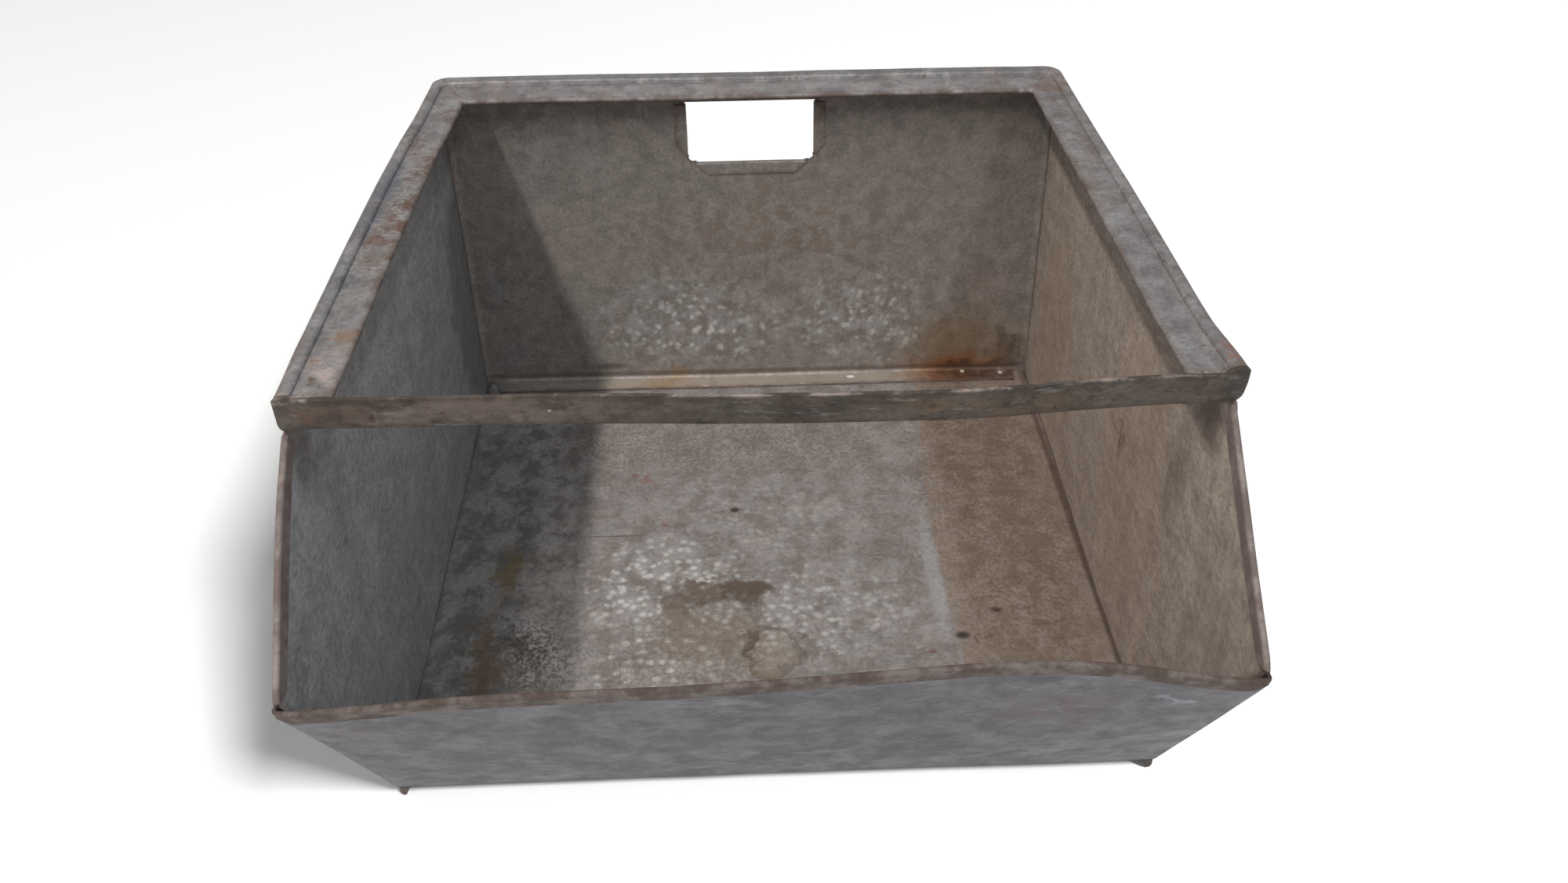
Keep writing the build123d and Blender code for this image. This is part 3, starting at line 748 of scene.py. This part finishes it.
def makeFloor():
    o = floorPan
    yRear = steelBin["yPanel"]
    tangent = o["bendRadius"] * math.tan(lipAngle / 2)
    run = yRear - yBend - tangent + 0.4
    rise = lipLength - tangent - 0.4
    # path in (forward, up); forward is -Y
    path = bentPath((-yRear, zFloor + gauge / 2), 0, [
        ("run", run), ("bend", o["bendRadius"], math.degrees(lipAngle)), ("run", rise),
        ("bend", o["hemRadius"], -180), ("run", o["hem"])])
    sBend0, sBend1 = path[1][0], path[1][1]
    sTop = path[2][1]
    sEnd = path[-1][1]
    uFlat = half - gauge / 2 - o["flangeRadius"]
    uTurn = o["flangeRadius"] * math.pi / 2
    side = bentPath((uFlat, 0.0), 0, [("run", 0.001), ("bend", o["flangeRadius"], 90),
                                      ("run", o["flange"] - gauge / 2 - o["flangeRadius"])])
    uMax = uFlat + side[-1][1]
    # a notch in the flange where floor and lip meet
    high = o["flange"] - gauge / 2
    mitre = math.tan((math.pi - lipAngle) / 2)
    notch = (high - o["bendRadius"]) / mitre + 0.5
    uNotch = uFlat + uTurn + o["bendRadius"] - o["flangeRadius"] - 1.2
    uPlain = half - gauge
    sFlange = yRear - o["flangeRear"]
    rightSide = [
        (uPlain, 0.0), (uPlain, sFlange), (uMax, sFlange), (uMax, sBend0 - notch), (uNotch, sBend0 - 0.3),
        (uNotch, sBend1 + 0.3), (uMax, sBend1 + notch), (uMax, sTop - 15), (uPlain + 2.0, sTop - 2.0),
        (uPlain - 0.4, sTop),
        (uPlain - 2.2, sTop + 2.8), (uPlain - 5, sEnd)]
    outline = mirrored(rightSide)
    linesS = pathLines(path, o["pitch"])
    linesU = steps(-uFlat, uFlat, o["pitch"]) + [uFlat + uTurn * i / 4 for i in range(1, 5)]
    linesU += [uFlat + uTurn + 4.0, uFlat + uTurn + 7.5]
    linesU += [-u for u in linesU if u > uFlat]
    flat, faces, loops = flatBlank(outline, [], sorted(linesU), linesS)
    points = []
    for u, s in flat:
        x, lift = u, 0.0
        if abs(u) > uFlat and s <= sTop + 6:
            x, lift, _ = pathPoint(side, abs(u) - uFlat)
            x = math.copysign(x, u)
        if s > sTop and abs(u) > uFlat:
            forward, up, angle = path[2][2], path[2][3], path[2][4]
            forward += math.cos(angle) * (s - path[2][0])
            up += math.sin(angle) * (s - path[2][0])
        else:
            forward, up, angle = pathPoint(path, s)
        # the sheet's inner side lies to the left of the path
        forward += -math.sin(angle) * lift
        up += math.cos(angle) * lift
        points.append((x, -forward, up))
    # the folded-over top edge is browned all over
    rub = [max(value, 0.9 if s > sTop - 0.5 else 0.0) for value, (u, s) in zip(rubFrom(flat, loops, 5.0), flat)]
    piece = meshObject("floorAndLipSheet", points, faces, [floorZinc, lipZinc], rub, (0, 0, 1))
    thicken(piece, gauge)
    return finishPiece(piece, "galvanised_sheet", "floor_and_lip")


# ---- side walls: a flat sheet with its front edge folded in

sideWall = {
    "hem": 6.0,
    "hemRadius": 0.85,
    "pitch": 6.0,
}

barFoot = (barLow[1], barLow[2])
edgeLength = math.dist(barFoot, lipTip)
edgeRun = ((barFoot[0] - lipTip[0]) / edgeLength, (barFoot[1] - lipTip[1]) / edgeLength)
edgeOut = (-edgeRun[1], edgeRun[0])      # out of the panel, forward


def alongEdge(a, outward):
    # a place along the front edge, measured up from the lip, and out of it
    return tuple(lipTip[k] + edgeRun[k] * a + edgeOut[k] * outward for k in (0, 1))


def makeSide(hand):
    o = sideWall
    inset = gauge + steelBin["seam"]
    zLow = zFloor + inset
    yRear = sideHigh[1]
    zHigh = sideHigh[2]

    def lipY(z):
        return yBend - (z - zFloor) / math.tan(lipAngle) + inset / lipSin

    turn = o["hemRadius"] * math.pi
    start = 3.2
    outline = [
        (yRear, zLow), (yRear, zHigh), (barHigh[1], zHigh), (barHigh[1], barLow[2]), (barFoot[0] + 1.0, barFoot[1]),
        alongEdge(edgeLength - 1.5, turn * 0.5), alongEdge(edgeLength - 4, turn + o["hem"]),
        alongEdge(start + 6, turn + o["hem"]), alongEdge(start, turn * 0.5), alongEdge(start, 0.0),
        (lipY(zLow + 3), zLow + 3), (lipY(zLow) + 3, zLow)]
    rows, columns = steps(lipTip[0] - 12, yRear, o["pitch"]), steps(zLow, zHigh, o["pitch"])
    flat, faces, loops = flatBlank(outline, [], rows, columns)
    # lines of points parallel to the folded edge are added by cutting the blank along them
    mesh = bmesh.new()
    verts = [mesh.verts.new((p[0], p[1], 0)) for p in flat]
    for face in faces:
        mesh.faces.new([verts[i] for i in face])
    normal = Vector((edgeOut[0], edgeOut[1], 0))
    for off in [-3.0, 0.0] + [turn * i / 6 for i in range(1, 7)]:
        origin = alongEdge(0, off)
        bmesh.ops.bisect_plane(mesh, geom=mesh.verts[:] + mesh.edges[:] + mesh.faces[:], dist=1e-4,
                               plane_co=(origin[0], origin[1], 0), plane_no=normal)
    bmesh.ops.remove_doubles(mesh, verts=mesh.verts[:], dist=0.05)
    mesh.verts.index_update()
    flat = [(v.co.x, v.co.y) for v in mesh.verts]
    faces = [tuple(v.index for v in f.verts) for f in mesh.faces]
    mesh.free()
    fold = bentPath((0.0, 0.0), 0, [("run", 0.001), ("bend", o["hemRadius"], 180), ("run", o["hem"] + 1)])
    xWall = half - 1.5 * gauge
    points, rub = [], []
    for y, z in flat:
        outward = (y - lipTip[0]) * edgeOut[0] + (z - lipTip[1]) * edgeOut[1]
        along = (y - lipTip[0]) * edgeRun[0] + (z - lipTip[1]) * edgeRun[1]
        x = xWall
        gap = loopDistance((y, z), loops)
        if outward > 0:
            gap = min(gap, abs(outward - turn / 2))
            across, lift, _ = pathPoint(fold, outward)
            y, z = alongEdge(along, across)
            x -= lift
            if outward > turn:
                x -= 0.35 * (outward - turn) / o["hem"]     # the flap has sprung open a little
        elif z < barLow[2]:
            gap = min(gap, abs(outward))
        points.append((x * hand, y, z))
        rub.append(max(clamp(1 - gap / 5.5), 0.75 if outward > 0.2 else 0.0))
    name = "rightSideSheet" if hand > 0 else "leftSideSheet"
    piece = meshObject(name, points, faces, [rightZinc if hand > 0 else leftZinc, outerZinc], rub, (-hand, 0, 0))
    thicken(piece, gauge)
    return finishPiece(piece, "galvanised_sheet", "side_panel_right" if hand > 0 else "side_panel_left")


# ---- back wall: bent round both corners, its foot turned onto the floor, with a hand hole

backWall = {
    "cornerRadius": 5.75,
    "flange": 18.0,          # laps outside the side walls
    "foot": 15.0,
    "footRadius": 3.25,
    "footHalf": 192.6,
    "pitch": 6.0,
    "holeHalf": 43.0,
    "holeLow": 183.0,
    "holeHigh": 226.0,
    "holeCorner": 5.0,
    "tabLow": 9.0,
    "tabSide": 8.0,
    "tabRadius": 0.77,
}


def makeBack():
    o = backWall
    yMid = steelBin["yPanel"] - gauge / 2
    xMid = half - gauge / 2
    zLow = zFloor + gauge + steelBin["seam"]
    zSkirt = barLow[2]
    zHigh = backHigh[2]
    # plan, from the middle of the back to the right-hand flange
    uFlat = xMid - o["cornerRadius"]
    plan = bentPath((0.0, yMid), 0, [("run", uFlat), ("bend", o["cornerRadius"], -90), ("run", o["flange"] - 1)])
    uMax = plan[-1][1]
    uTurn = plan[1][1]
    # height, from the foot flange's front edge back, then up
    zRun = zFloor + 1.5 * gauge
    foot = bentPath((-o["foot"], zRun), 0, [("run", o["foot"] - o["footRadius"]), ("bend", o["footRadius"], 90),
                                            ("run", 300.0)])
    vUp = foot[1][1]
    zUp = zRun + o["footRadius"]

    def vOf(z):
        return vUp + z - zUp

    turn = o["tabRadius"] * math.pi
    hw, lo, hi, r = o["holeHalf"], vOf(o["holeLow"]), vOf(o["holeHigh"]), o["holeCorner"]
    lowTab, sideTab = turn + o["tabLow"] - 2, turn + o["tabSide"] - 2
    fold = 2 * o["tabRadius"]        # how far the folded edges stand into the hole
    small = r - fold
    corner = [(hw - r + small * math.sin(a), lo + r - small * math.cos(a)) for a in quarterTurn(6)]
    hole = mirrored([(hw - r - lowTab, lo + lowTab)] + corner + [
        (hw - sideTab, lo + r + sideTab), (hw - sideTab, hi - 1.5), (hw, hi - 1.0), (hw - 1.0, hi)])
    top = 190.5
    rightSide = [
        (o["footHalf"], 0.0), (o["footHalf"], vUp - 4.2), (uFlat + 3.0, vUp - 4.0), (uMax, vOf(zLow)),
        (uMax, vOf(zSkirt) - 1.5), (top, vOf(zSkirt) - 1.5), (top, vOf(zHigh))]
    outline = mirrored(rightSide)
    linesU = steps(0, uFlat, o["pitch"]) + [uFlat + (uTurn - uFlat) * i / 6 for i in range(1, 7)]
    linesU += steps(uTurn, uMax, 5.0)[1:] + [hw - turn * i / 4 for i in range(5)] + [hw]
    linesU = sorted({round(u, 4) for u in linesU} | {round(-u, 4) for u in linesU})
    linesV = steps(0, foot[0][1], 4.0) + [foot[0][1] + (vUp - foot[0][1]) * i / 6 for i in range(1, 7)]
    linesV += steps(vUp, vOf(zHigh), o["pitch"])[1:] + [lo + turn * i / 4 for i in range(5)]
    linesV = sorted({round(v, 4) for v in linesV})
    flat, faces, loops = flatBlank(outline, [hole], linesU, linesV, 0.5)
    tabPath = bentPath((0.0, 0.0), 0, [("run", 0.001), ("bend", o["tabRadius"], 180), ("run", 12.0)])
    points, rub, tucks = [], [], []
    for u, v in flat:
        gap = min(loopDistance((u, v), loops[:1]), loopDistance((u, v), loops[1:]) * 2.5)
        inU, inV = hw - abs(u), v - lo
        tuck = 0.0
        if inU > 0 and inV > 0 and v < hi - 1.0:
            if inV < inU - r + fold - 0.1 and inV < lowTab + 0.1:
                across, tuck, _ = pathPoint(tabPath, inV)
                v = lo + across
            elif inU < sideTab + 0.1 and inV > inU + r - fold + 0.1:
                across, tuck, _ = pathPoint(tabPath, inU)
                u = math.copysign(hw - across, u)
        x, y, angle = pathPoint(plan, abs(u))
        x = math.copysign(x, u)
        back, z, _ = pathPoint(foot, v)
        # the foot's bend dies out before the corner bend starts
        plain = ease(abs(u), o["footHalf"] - 1.5, uFlat + 0.4)
        y += back * (1 - plain) - tuck
        z += (zUp + v - vUp - z) * plain
        points.append((x, y, z))
        rub.append(clamp(1 - gap / 5.0))
        tucks.append(tuck)
    piece = meshObject("backSheet", points, faces, [backZinc, outerZinc, backZinc], rub, (0, -1, 0))
    # the folded tabs turn their outer face inward, so their finishes swap over
    for polygon in piece.data.polygons:
        if min(tucks[i] for i in polygon.vertices) > 0.3:
            polygon.material_index = 1
    thicken(piece, gauge)
    return finishPiece(piece, "galvanised_sheet", "back_panel")


# ---- rim: three rails of one pressed section, mitred at the back corners

rim = {
    "sideBand": 6.5,
    "backBand": 10.0,
    "sideLedge": 24.0,
    "backLedge": 35.5,
    "hem": 8.0,
    "outerCorner": 9.5,
    "ledgeCorner": 3.0,
    "sideSteps": 58,
    "cornerSteps": 8,
    "backSteps": 64,
}


def rimSection(band, ledge):
    # (inset, height) along the pressed section, from the skirt's lower edge to the hem's
    top = steelBin["zTop"] - gauge / 2
    return bentPath((gauge / 2, barLow[2]), 90, [
        ("run", top - barLow[2] - 2.0), ("bend", 2.0, -90), ("run", band - 2.0 - gauge / 2 - 1.3),
        ("bend", 1.3, -90), ("bend", 1.3, 90), ("run", ledge - band - gauge - 1.3 - 0.4),
        ("bend", 0.9, -180), ("run", rim["hem"])])


def makeRim():
    o = rim
    # inset on the side rails, inset on the back rail, and height, all along the section
    profile = []
    sideSection = rimSection(o["sideBand"], o["sideLedge"])
    for a, b in zip(sideSection, rimSection(o["backBand"], o["backLedge"])):
        count = max(1, math.ceil((b[1] - b[0]) / 4.0))
        if a[5]:
            count = 7 if abs(a[6]) > 3 else 4
        for i in range(count + (a is sideSection[-1])):
            ds, z, _ = pathPoint([a], a[0] + (a[1] - a[0]) * i / count)
            db, _, _ = pathPoint([b], b[0] + (b[1] - b[0]) * i / count)
            profile.append((ds, db, z))
    yFront = barHigh[1] + 0.2
    turns = quarterTurn(o["cornerSteps"])
    rows = []
    for ds, db, z in profile:
        share = clamp(ds / o["sideLedge"])
        r = o["outerCorner"] * (1 - share) + o["ledgeCorner"] * share
        xs, yb = half - ds, steelBin["yBack"] - db
        plan = [(xs, yFront + (yb - r - yFront) * i / o["sideSteps"]) for i in range(o["sideSteps"])]
        plan += [(xs - r + r * math.cos(a), yb - r + r * math.sin(a)) for a in turns]
        middle = [((xs - r) * (1 - 2 * i / o["backSteps"]), yb) for i in range(1, o["backSteps"])]
        rows.append([(x, y, z) for x, y in plan + middle + [(-x, y) for x, y in reversed(plan)]])
    end = len(rows[0]) - 1
    mitre = o["sideSteps"] + o["cornerSteps"] // 2
    for name, first, last, openEnds, node in (
            ("rightRimRail", 0, mitre, [0], "rim_rail_right"),
            ("backRimRail", mitre, end - mitre, [mitre, end - mitre], "rim_rail_back"),
            ("leftRimRail", end - mitre, end, [end], "rim_rail_left")):
        points, rub = [], []
        for i, row in enumerate(rows):
            for j in range(first, last + 1):
                points.append(row[j])
                gap = min([math.dist(row[j], row[k]) for k in openEnds] + [railEdge(profile[i])])
                rub.append(clamp(1 - gap / 4.0))
        faces = gridFaces(len(rows) - 1, last - first + 1)
        piece = meshObject(name, points, faces, [rimZinc], rub, (0, 0, 1))
        thicken(piece, gauge, twoSided=False)
        finishPiece(piece, "worn_rim_steel", node)


def railEdge(place):
    # distance from the nearest edge of the section: the skirt's lower, the band's outer or the ledge's inner one
    ds, db, z = place
    outer = abs(steelBin["zTop"] - z) + abs(ds - 1.0)
    skirt = abs(z - barLow[2]) + abs(ds - 0.75)
    return min(outer, skirt, abs(rim["sideLedge"] - ds))


# ---- crossbar over the mouth

bar = {"corner": 4.0, "pitch": 5.0, "thickness": 2.0}


def makeBar():
    o = bar
    r = o["corner"]
    low, high = barLow[2], barHigh[2]
    end = [(half - r + r * math.sin(a), low + r - r * math.cos(a)) for a in quarterTurn(5)]
    # the ends rise to close the hollow under the rim's raised band
    band, top = rim["sideBand"], steelBin["zTop"] - 0.3
    end += [(half, top - 1.2), (half - 1.2, top), (half - band - 0.5, top), (half - band - 2.5, high)]
    flat, faces, loops = flatBlank(mirrored(end), [], steps(-half, half, o["pitch"]), steps(low, high, 2.6), 0.8)
    yMid = (barLow[1] + barHigh[1]) / 2
    points = [(x, yMid, z) for x, z in flat]
    # the top edge is rubbed pale, the lower one a little less
    rub = [clamp(1 - (high - z) / 4.0) if z > high - 4 else clamp(1 - (z - low) / 5.0) * 0.75 for x, z in flat]
    piece = meshObject("crossbarStrip", points, faces, [barSteel], rub, (0, -1, 0))
    thicken(piece, o["thickness"], edge=0.5, twoSided=False)
    return finishPiece(piece, "worn_rim_steel", "crossbar")


# ---- runners: a folded V under each side

runner = {
    # the V's nose, from the front: in from the outer face and up from the ground
    "right": [(3.2, 1.6), (2.0, 0.3), (2.2, 0.0), (0.8, 0.6), (0.0, 2.0)],
    "left": [(2.9, 2.0), (2.3, 0.5), (1.5, 0.0), (0.8, 0.6), (0.4, 2.2)],
    "rightInset": 1.0,       # how far the inner leg's top stands in from the node's box
    "leftInset": 2.2,
    "pitch": 8.0,
}


def makeRunner(hand):
    o = runner
    word = "right" if hand > 0 else "left"
    top, low = zFloor + 0.2, gauge / 2
    xOut = half - gauge / 2
    section = [(runnerLow[0] + o[word + "Inset"], top)] + [(xOut - a, low + b) for a, b in o[word]] + [(xOut, top)]
    fine = []
    for a, b in zip(section, section[1:]):
        count = max(1, math.ceil(math.dist(a, b) / 3.0))
        fine += [(a[0] + (b[0] - a[0]) * i / count, a[1] + (b[1] - a[1]) * i / count) for i in range(count)]
    fine.append(section[-1])
    ys = steps(runnerLow[1], runnerHigh[1], o["pitch"])
    points = [(x * hand, y, z) for y in ys for x, z in fine]
    rub = [clamp(1 - z / 4.0) for x, y, z in points]
    # the front end is pinched shut
    faces = gridFaces(len(ys) - 1, len(fine)) + [tuple(range(len(fine)))]
    piece = meshObject(word + "Runner", points, faces, [runnerSteel], rub)
    faceOutward(piece)
    thicken(piece, gauge * 0.9, twoSided=False)
    return finishPiece(piece, "galvanised_sheet", "runner_" + word)


# ---- welds

weld = {"ripple": 2.4, "sides": 10, "step": 0.6}


def makeBeads(name, node, runs, radius, seed):
    # overlapping puddles of weld metal along each run, from its start to its end
    rng = random.Random(seed)
    sides = weld["sides"]
    points, faces = [], []
    for start, end in runs:
        a, run = Vector(start), Vector(end) - Vector(start)
        axis = run.normalized()
        side = axis.cross(Vector((0.3, 0.2, 1.0))).normalized()
        rise = axis.cross(side)
        count = max(6, math.ceil(run.length / weld["step"]))
        phase = rng.random() * 6
        first = len(points)
        for i in range(count + 1):
            t = i / count
            puddle = 0.86 + 0.14 * abs(math.sin(math.pi * (t * run.length / weld["ripple"]) + phase))
            taper = math.sqrt(clamp(1 - abs(2 * t - 1) ** 6))
            size = radius * puddle * max(taper, 0.25) * (0.92 + 0.16 * rng.random())
            centre = a + run * t + (side * (rng.random() - 0.5) + rise * (rng.random() - 0.5)) * radius * 0.15
            for k in range(sides):
                turn = 2 * math.pi * k / sides
                points.append(tuple(centre + (side * math.cos(turn) + rise * math.sin(turn)) * size))
        faces += gridFaces(count, sides, first, closed=True)
        faces.append(tuple(first + k for k in reversed(range(sides))))
        faces.append(tuple(first + count * sides + k for k in range(sides)))
    piece = meshObject(name, points, faces, [weldSteel], [0.5] * len(points))
    return finishPiece(piece, "weld_metal", node)


def nodeIslands(node):
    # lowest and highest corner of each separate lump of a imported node, in millimetres
    mesh = bmesh.new()
    mesh.from_mesh(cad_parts[node].data)
    bmesh.ops.remove_doubles(mesh, verts=mesh.verts[:], dist=1e-5)
    islands, seen = [], set()
    for vert in mesh.verts:
        if vert.index in seen:
            continue
        stack, found = [vert], []
        while stack:
            v = stack.pop()
            if v.index in seen:
                continue
            seen.add(v.index)
            found.append(v.co.copy())
            stack += [e.other_vert(v) for e in v.link_edges]
        low = [min(c[k] for c in found) / mm for k in range(3)]
        high = [max(c[k] for c in found) / mm for k in range(3)]
        islands.append((low, high))
    mesh.free()
    return islands


# radius and height, from the middle out: a ring pressed by the electrode round a low button
spot = {"sides": 20, "centre": 0.05,
        "rings": [(1.3, 0.12), (2.1, 0.1), (2.6, 0.28), (3.1, 0.3), (3.6, 0.05), (3.9, -0.25)]}


def makeSpots(name, node, axis, sign, finish):
    sides, rings = spot["sides"], spot["rings"]
    points, faces = [], []
    for low, high in nodeIslands(node):
        centre = [(a + b) / 2 for a, b in zip(low, high)]
        centre[axis] = low[axis] if sign > 0 else high[axis]
        u, v = [k for k in range(3) if k != axis]
        first = len(points)
        for radius, lift in [(0.0, spot["centre"])] + rings:
            for k in range(sides if radius else 1):
                turn = 2 * math.pi * k / sides
                p = list(centre)
                p[axis] += sign * lift
                p[u] += radius * math.cos(turn)
                p[v] += radius * math.sin(turn)
                points.append(tuple(p))
        faces += [(first, first + 1 + k, first + 1 + (k + 1) % sides) for k in range(sides)]
        faces += gridFaces(len(rings) - 1, sides, first + 1, closed=True)
        faces.append(tuple(first + 1 + (len(rings) - 1) * sides + k for k in range(sides)))
    piece = meshObject(name, points, faces, [finish], [0.3] * len(points))
    faceOutward(piece)
    return finishPiece(piece, "galvanised_sheet", node)


def makeWelds():
    x, y = half - 2 * gauge - 0.6, barHigh[1] + 0.6
    z0, z1 = (corner[2] for corner in boxOf("crossbar_welds"))
    makeBeads("crossbarWeldBeads", "crossbar_welds", [((h * x, y, z0), (h * x, y, z1)) for h in (-1, 1)], 1.9, 3)
    runs = []
    for low, high in nodeIslands("rim_corner_welds"):
        z = (low[2] + high[2]) / 2 + 0.4
        outer, inner = (low[0] + 1, high[0] - 1) if low[0] < 0 else (high[0] - 1, low[0] + 1)
        runs.append(((outer, high[1] - 1, z), (inner, low[1] + 1, z)))
    makeBeads("rimCornerWeldBeads", "rim_corner_welds", runs, 1.2, 5)
    runs = []
    for low, high in nodeIslands("lip_corner_welds"):
        x = low[0] + 1.0 if low[0] < 0 else high[0] - 1.0
        runs.append(((x, high[1] - 4.0, low[2] + 1.0), (x, low[1] + 2.0, high[2] - 3.0)))
    makeBeads("lipCornerWeldBeads", "lip_corner_welds", runs, 1.6, 8)
    for hand, word in ((1, "right"), (-1, "left")):
        node = "runner_stitch_welds_" + word
        runs = []
        for low, high in nodeIslands(node):
            x, z = (low[0] + high[0]) / 2, high[2] - 1.0
            runs.append(((x, low[1] + 1, z), (x, high[1] - 1, z)))
        makeBeads(word + "RunnerStitches", node, runs, 1.3, 11 + hand)
        makeSpots(word + "BackFlangeSpots", "back_flange_spot_welds_" + word, 0, hand, outerZinc)
        makeSpots(word + "FloorFlangeSpots", "floor_flange_spot_welds_" + word, 0, hand, lipZinc)
        makeSpots(word + "SkirtSpots", "skirt_spot_welds_" + word, 0, hand, rimZinc)
    makeSpots("backSkirtSpots", "back_skirt_spot_welds", 1, 1, rimZinc)
    makeSpots("footFlangeSpots", "foot_flange_spot_welds", 2, 1, backZinc)


makeFloor()
print("floor and lip made")
makeSide(1)
makeSide(-1)
print("side walls made")
makeBack()
print("back wall made")
makeRim()
makeBar()
print("rim and crossbar made")
makeRunner(1)
makeRunner(-1)
makeWelds()
print("runners and welds made")


# ---- studio: pale floor, two long soft lights overhead, pale surround

studio = {
    "floorColour": "#f2f2f1",
    # long tubes along the bin, high on each side, and a soft square lamp for the floor
    "leftTube": {"at": (-0.80, -1.25, 2.30), "aim": (0, -0.9, 0.1), "size": (2.8, 0.10), "power": 84.0,
                 "colour": (1.0, 0.94, 0.89)},
    "rightTube": {"at": (0.66, -1.25, 2.30), "aim": (0, -0.9, 0.1), "size": (2.8, 0.12), "power": 28.0,
                  "colour": (0.8, 0.92, 1.0)},
    "floorFill": {"at": (2.64, -3.6, 5.28), "aim": (0, 0, 0), "size": (1.08, 1.08), "power": 560.0,
                  "colour": (1.0, 1.0, 1.0)},
    "horizon": 0.76,         # how bright the surround is low down
    "zenith": 0.16,          # and overhead
    "backdrop": 0.95,        # how bright it looks to the camera
    "camera": (-0.0103, -0.5674, 0.5354),
    "yaw": 2.301, "pitch": 36.487, "roll": -0.243, "lens": 29.03,
}


def makeLamp(name, receivers):
    light = studio[name]
    data = bpy.data.lights.new(name, "AREA")
    data.shape = "RECTANGLE"
    data.size, data.size_y = light["size"]
    data.energy = light["power"]
    data.color = light["colour"]
    lamp = bpy.data.objects.new(name, data)
    lamp.location = light["at"]
    down = (lamp.location - Vector(light["aim"])).normalized()
    long = (Vector((0, 1, 0)) - down * down.y).normalized()
    lamp.rotation_euler = Matrix((long, down.cross(long), down)).transposed().to_euler()
    bpy.context.scene.collection.objects.link(lamp)
    lamp.light_linking.receiver_collection = receivers


def makeStudio():
    o = studio
    pieces = [thing for thing in bpy.context.scene.objects if thing.type == "MESH"]
    bpy.ops.mesh.primitive_circle_add(vertices=96, radius=7.0, fill_type="NGON", location=(0, 0, 0))
    ground = bpy.context.object
    ground.name = "studioFloor"
    material = bpy.data.materials.new("paleStudioFloor")
    material.use_nodes = True
    shader = material.node_tree.nodes["Principled BSDF"]
    shader.inputs["Base Color"].default_value = linear(o["floorColour"])
    shader.inputs["Roughness"].default_value = 0.9
    shader.inputs["Specular IOR Level"].default_value = 0.1
    ground.data.materials.append(material)
    # the two tubes light the bin only, so the floor keeps one soft shadow
    onBin = bpy.data.collections.new("litByTubes")
    for piece in pieces:
        onBin.objects.link(piece)
    onFloor = bpy.data.collections.new("litByFill")
    onFloor.objects.link(ground)
    makeLamp("leftTube", onBin)
    makeLamp("rightTube", onBin)
    makeLamp("floorFill", onFloor)
    world = bpy.data.worlds.new("paleSurround")
    world.use_nodes = True
    tree = world.node_tree
    tree.nodes.clear()
    add = functools.partial(addNode, tree)
    way = add("SeparateXYZ", {}, [add("TexCoord").outputs["Generated"]])
    glow = add("MapRange", eased, [way.outputs["Z"], 0.45, 0.85, o["horizon"], o["zenith"]])
    soft = add("Background", {}, {"Color": (1, 1, 1, 1), "Strength": glow})
    seen = add("Background", {}, {"Color": (1, 1, 1, 1), "Strength": o["backdrop"]})
    mix = add("MixShader", {}, [add("LightPath").outputs["Is Camera Ray"], soft, seen])
    add("OutputWorld", {}, [mix])
    bpy.context.scene.world = world
    bpy.context.scene.view_settings.view_transform = "Standard"


def makeCamera():
    o = studio
    yaw, pitch, roll = (math.radians(o[k]) for k in ("yaw", "pitch", "roll"))
    forward = Vector((math.sin(yaw) * math.cos(pitch), math.cos(yaw) * math.cos(pitch), -math.sin(pitch)))
    right = Vector((math.cos(yaw), -math.sin(yaw), 0))
    up = right.cross(forward)
    right, up = right * math.cos(roll) + up * math.sin(roll), up * math.cos(roll) - right * math.sin(roll)
    data = bpy.data.cameras.new("camera")
    data.lens = o["lens"]
    data.sensor_width = 36
    camera = bpy.data.objects.new("camera", data)
    camera.matrix_world = Matrix.Translation(o["camera"]) @ Matrix((right, up, -forward)).transposed().to_4x4()
    bpy.context.scene.collection.objects.link(camera)
    bpy.context.scene.camera = camera


makeStudio()
makeCamera()
print("studio made")
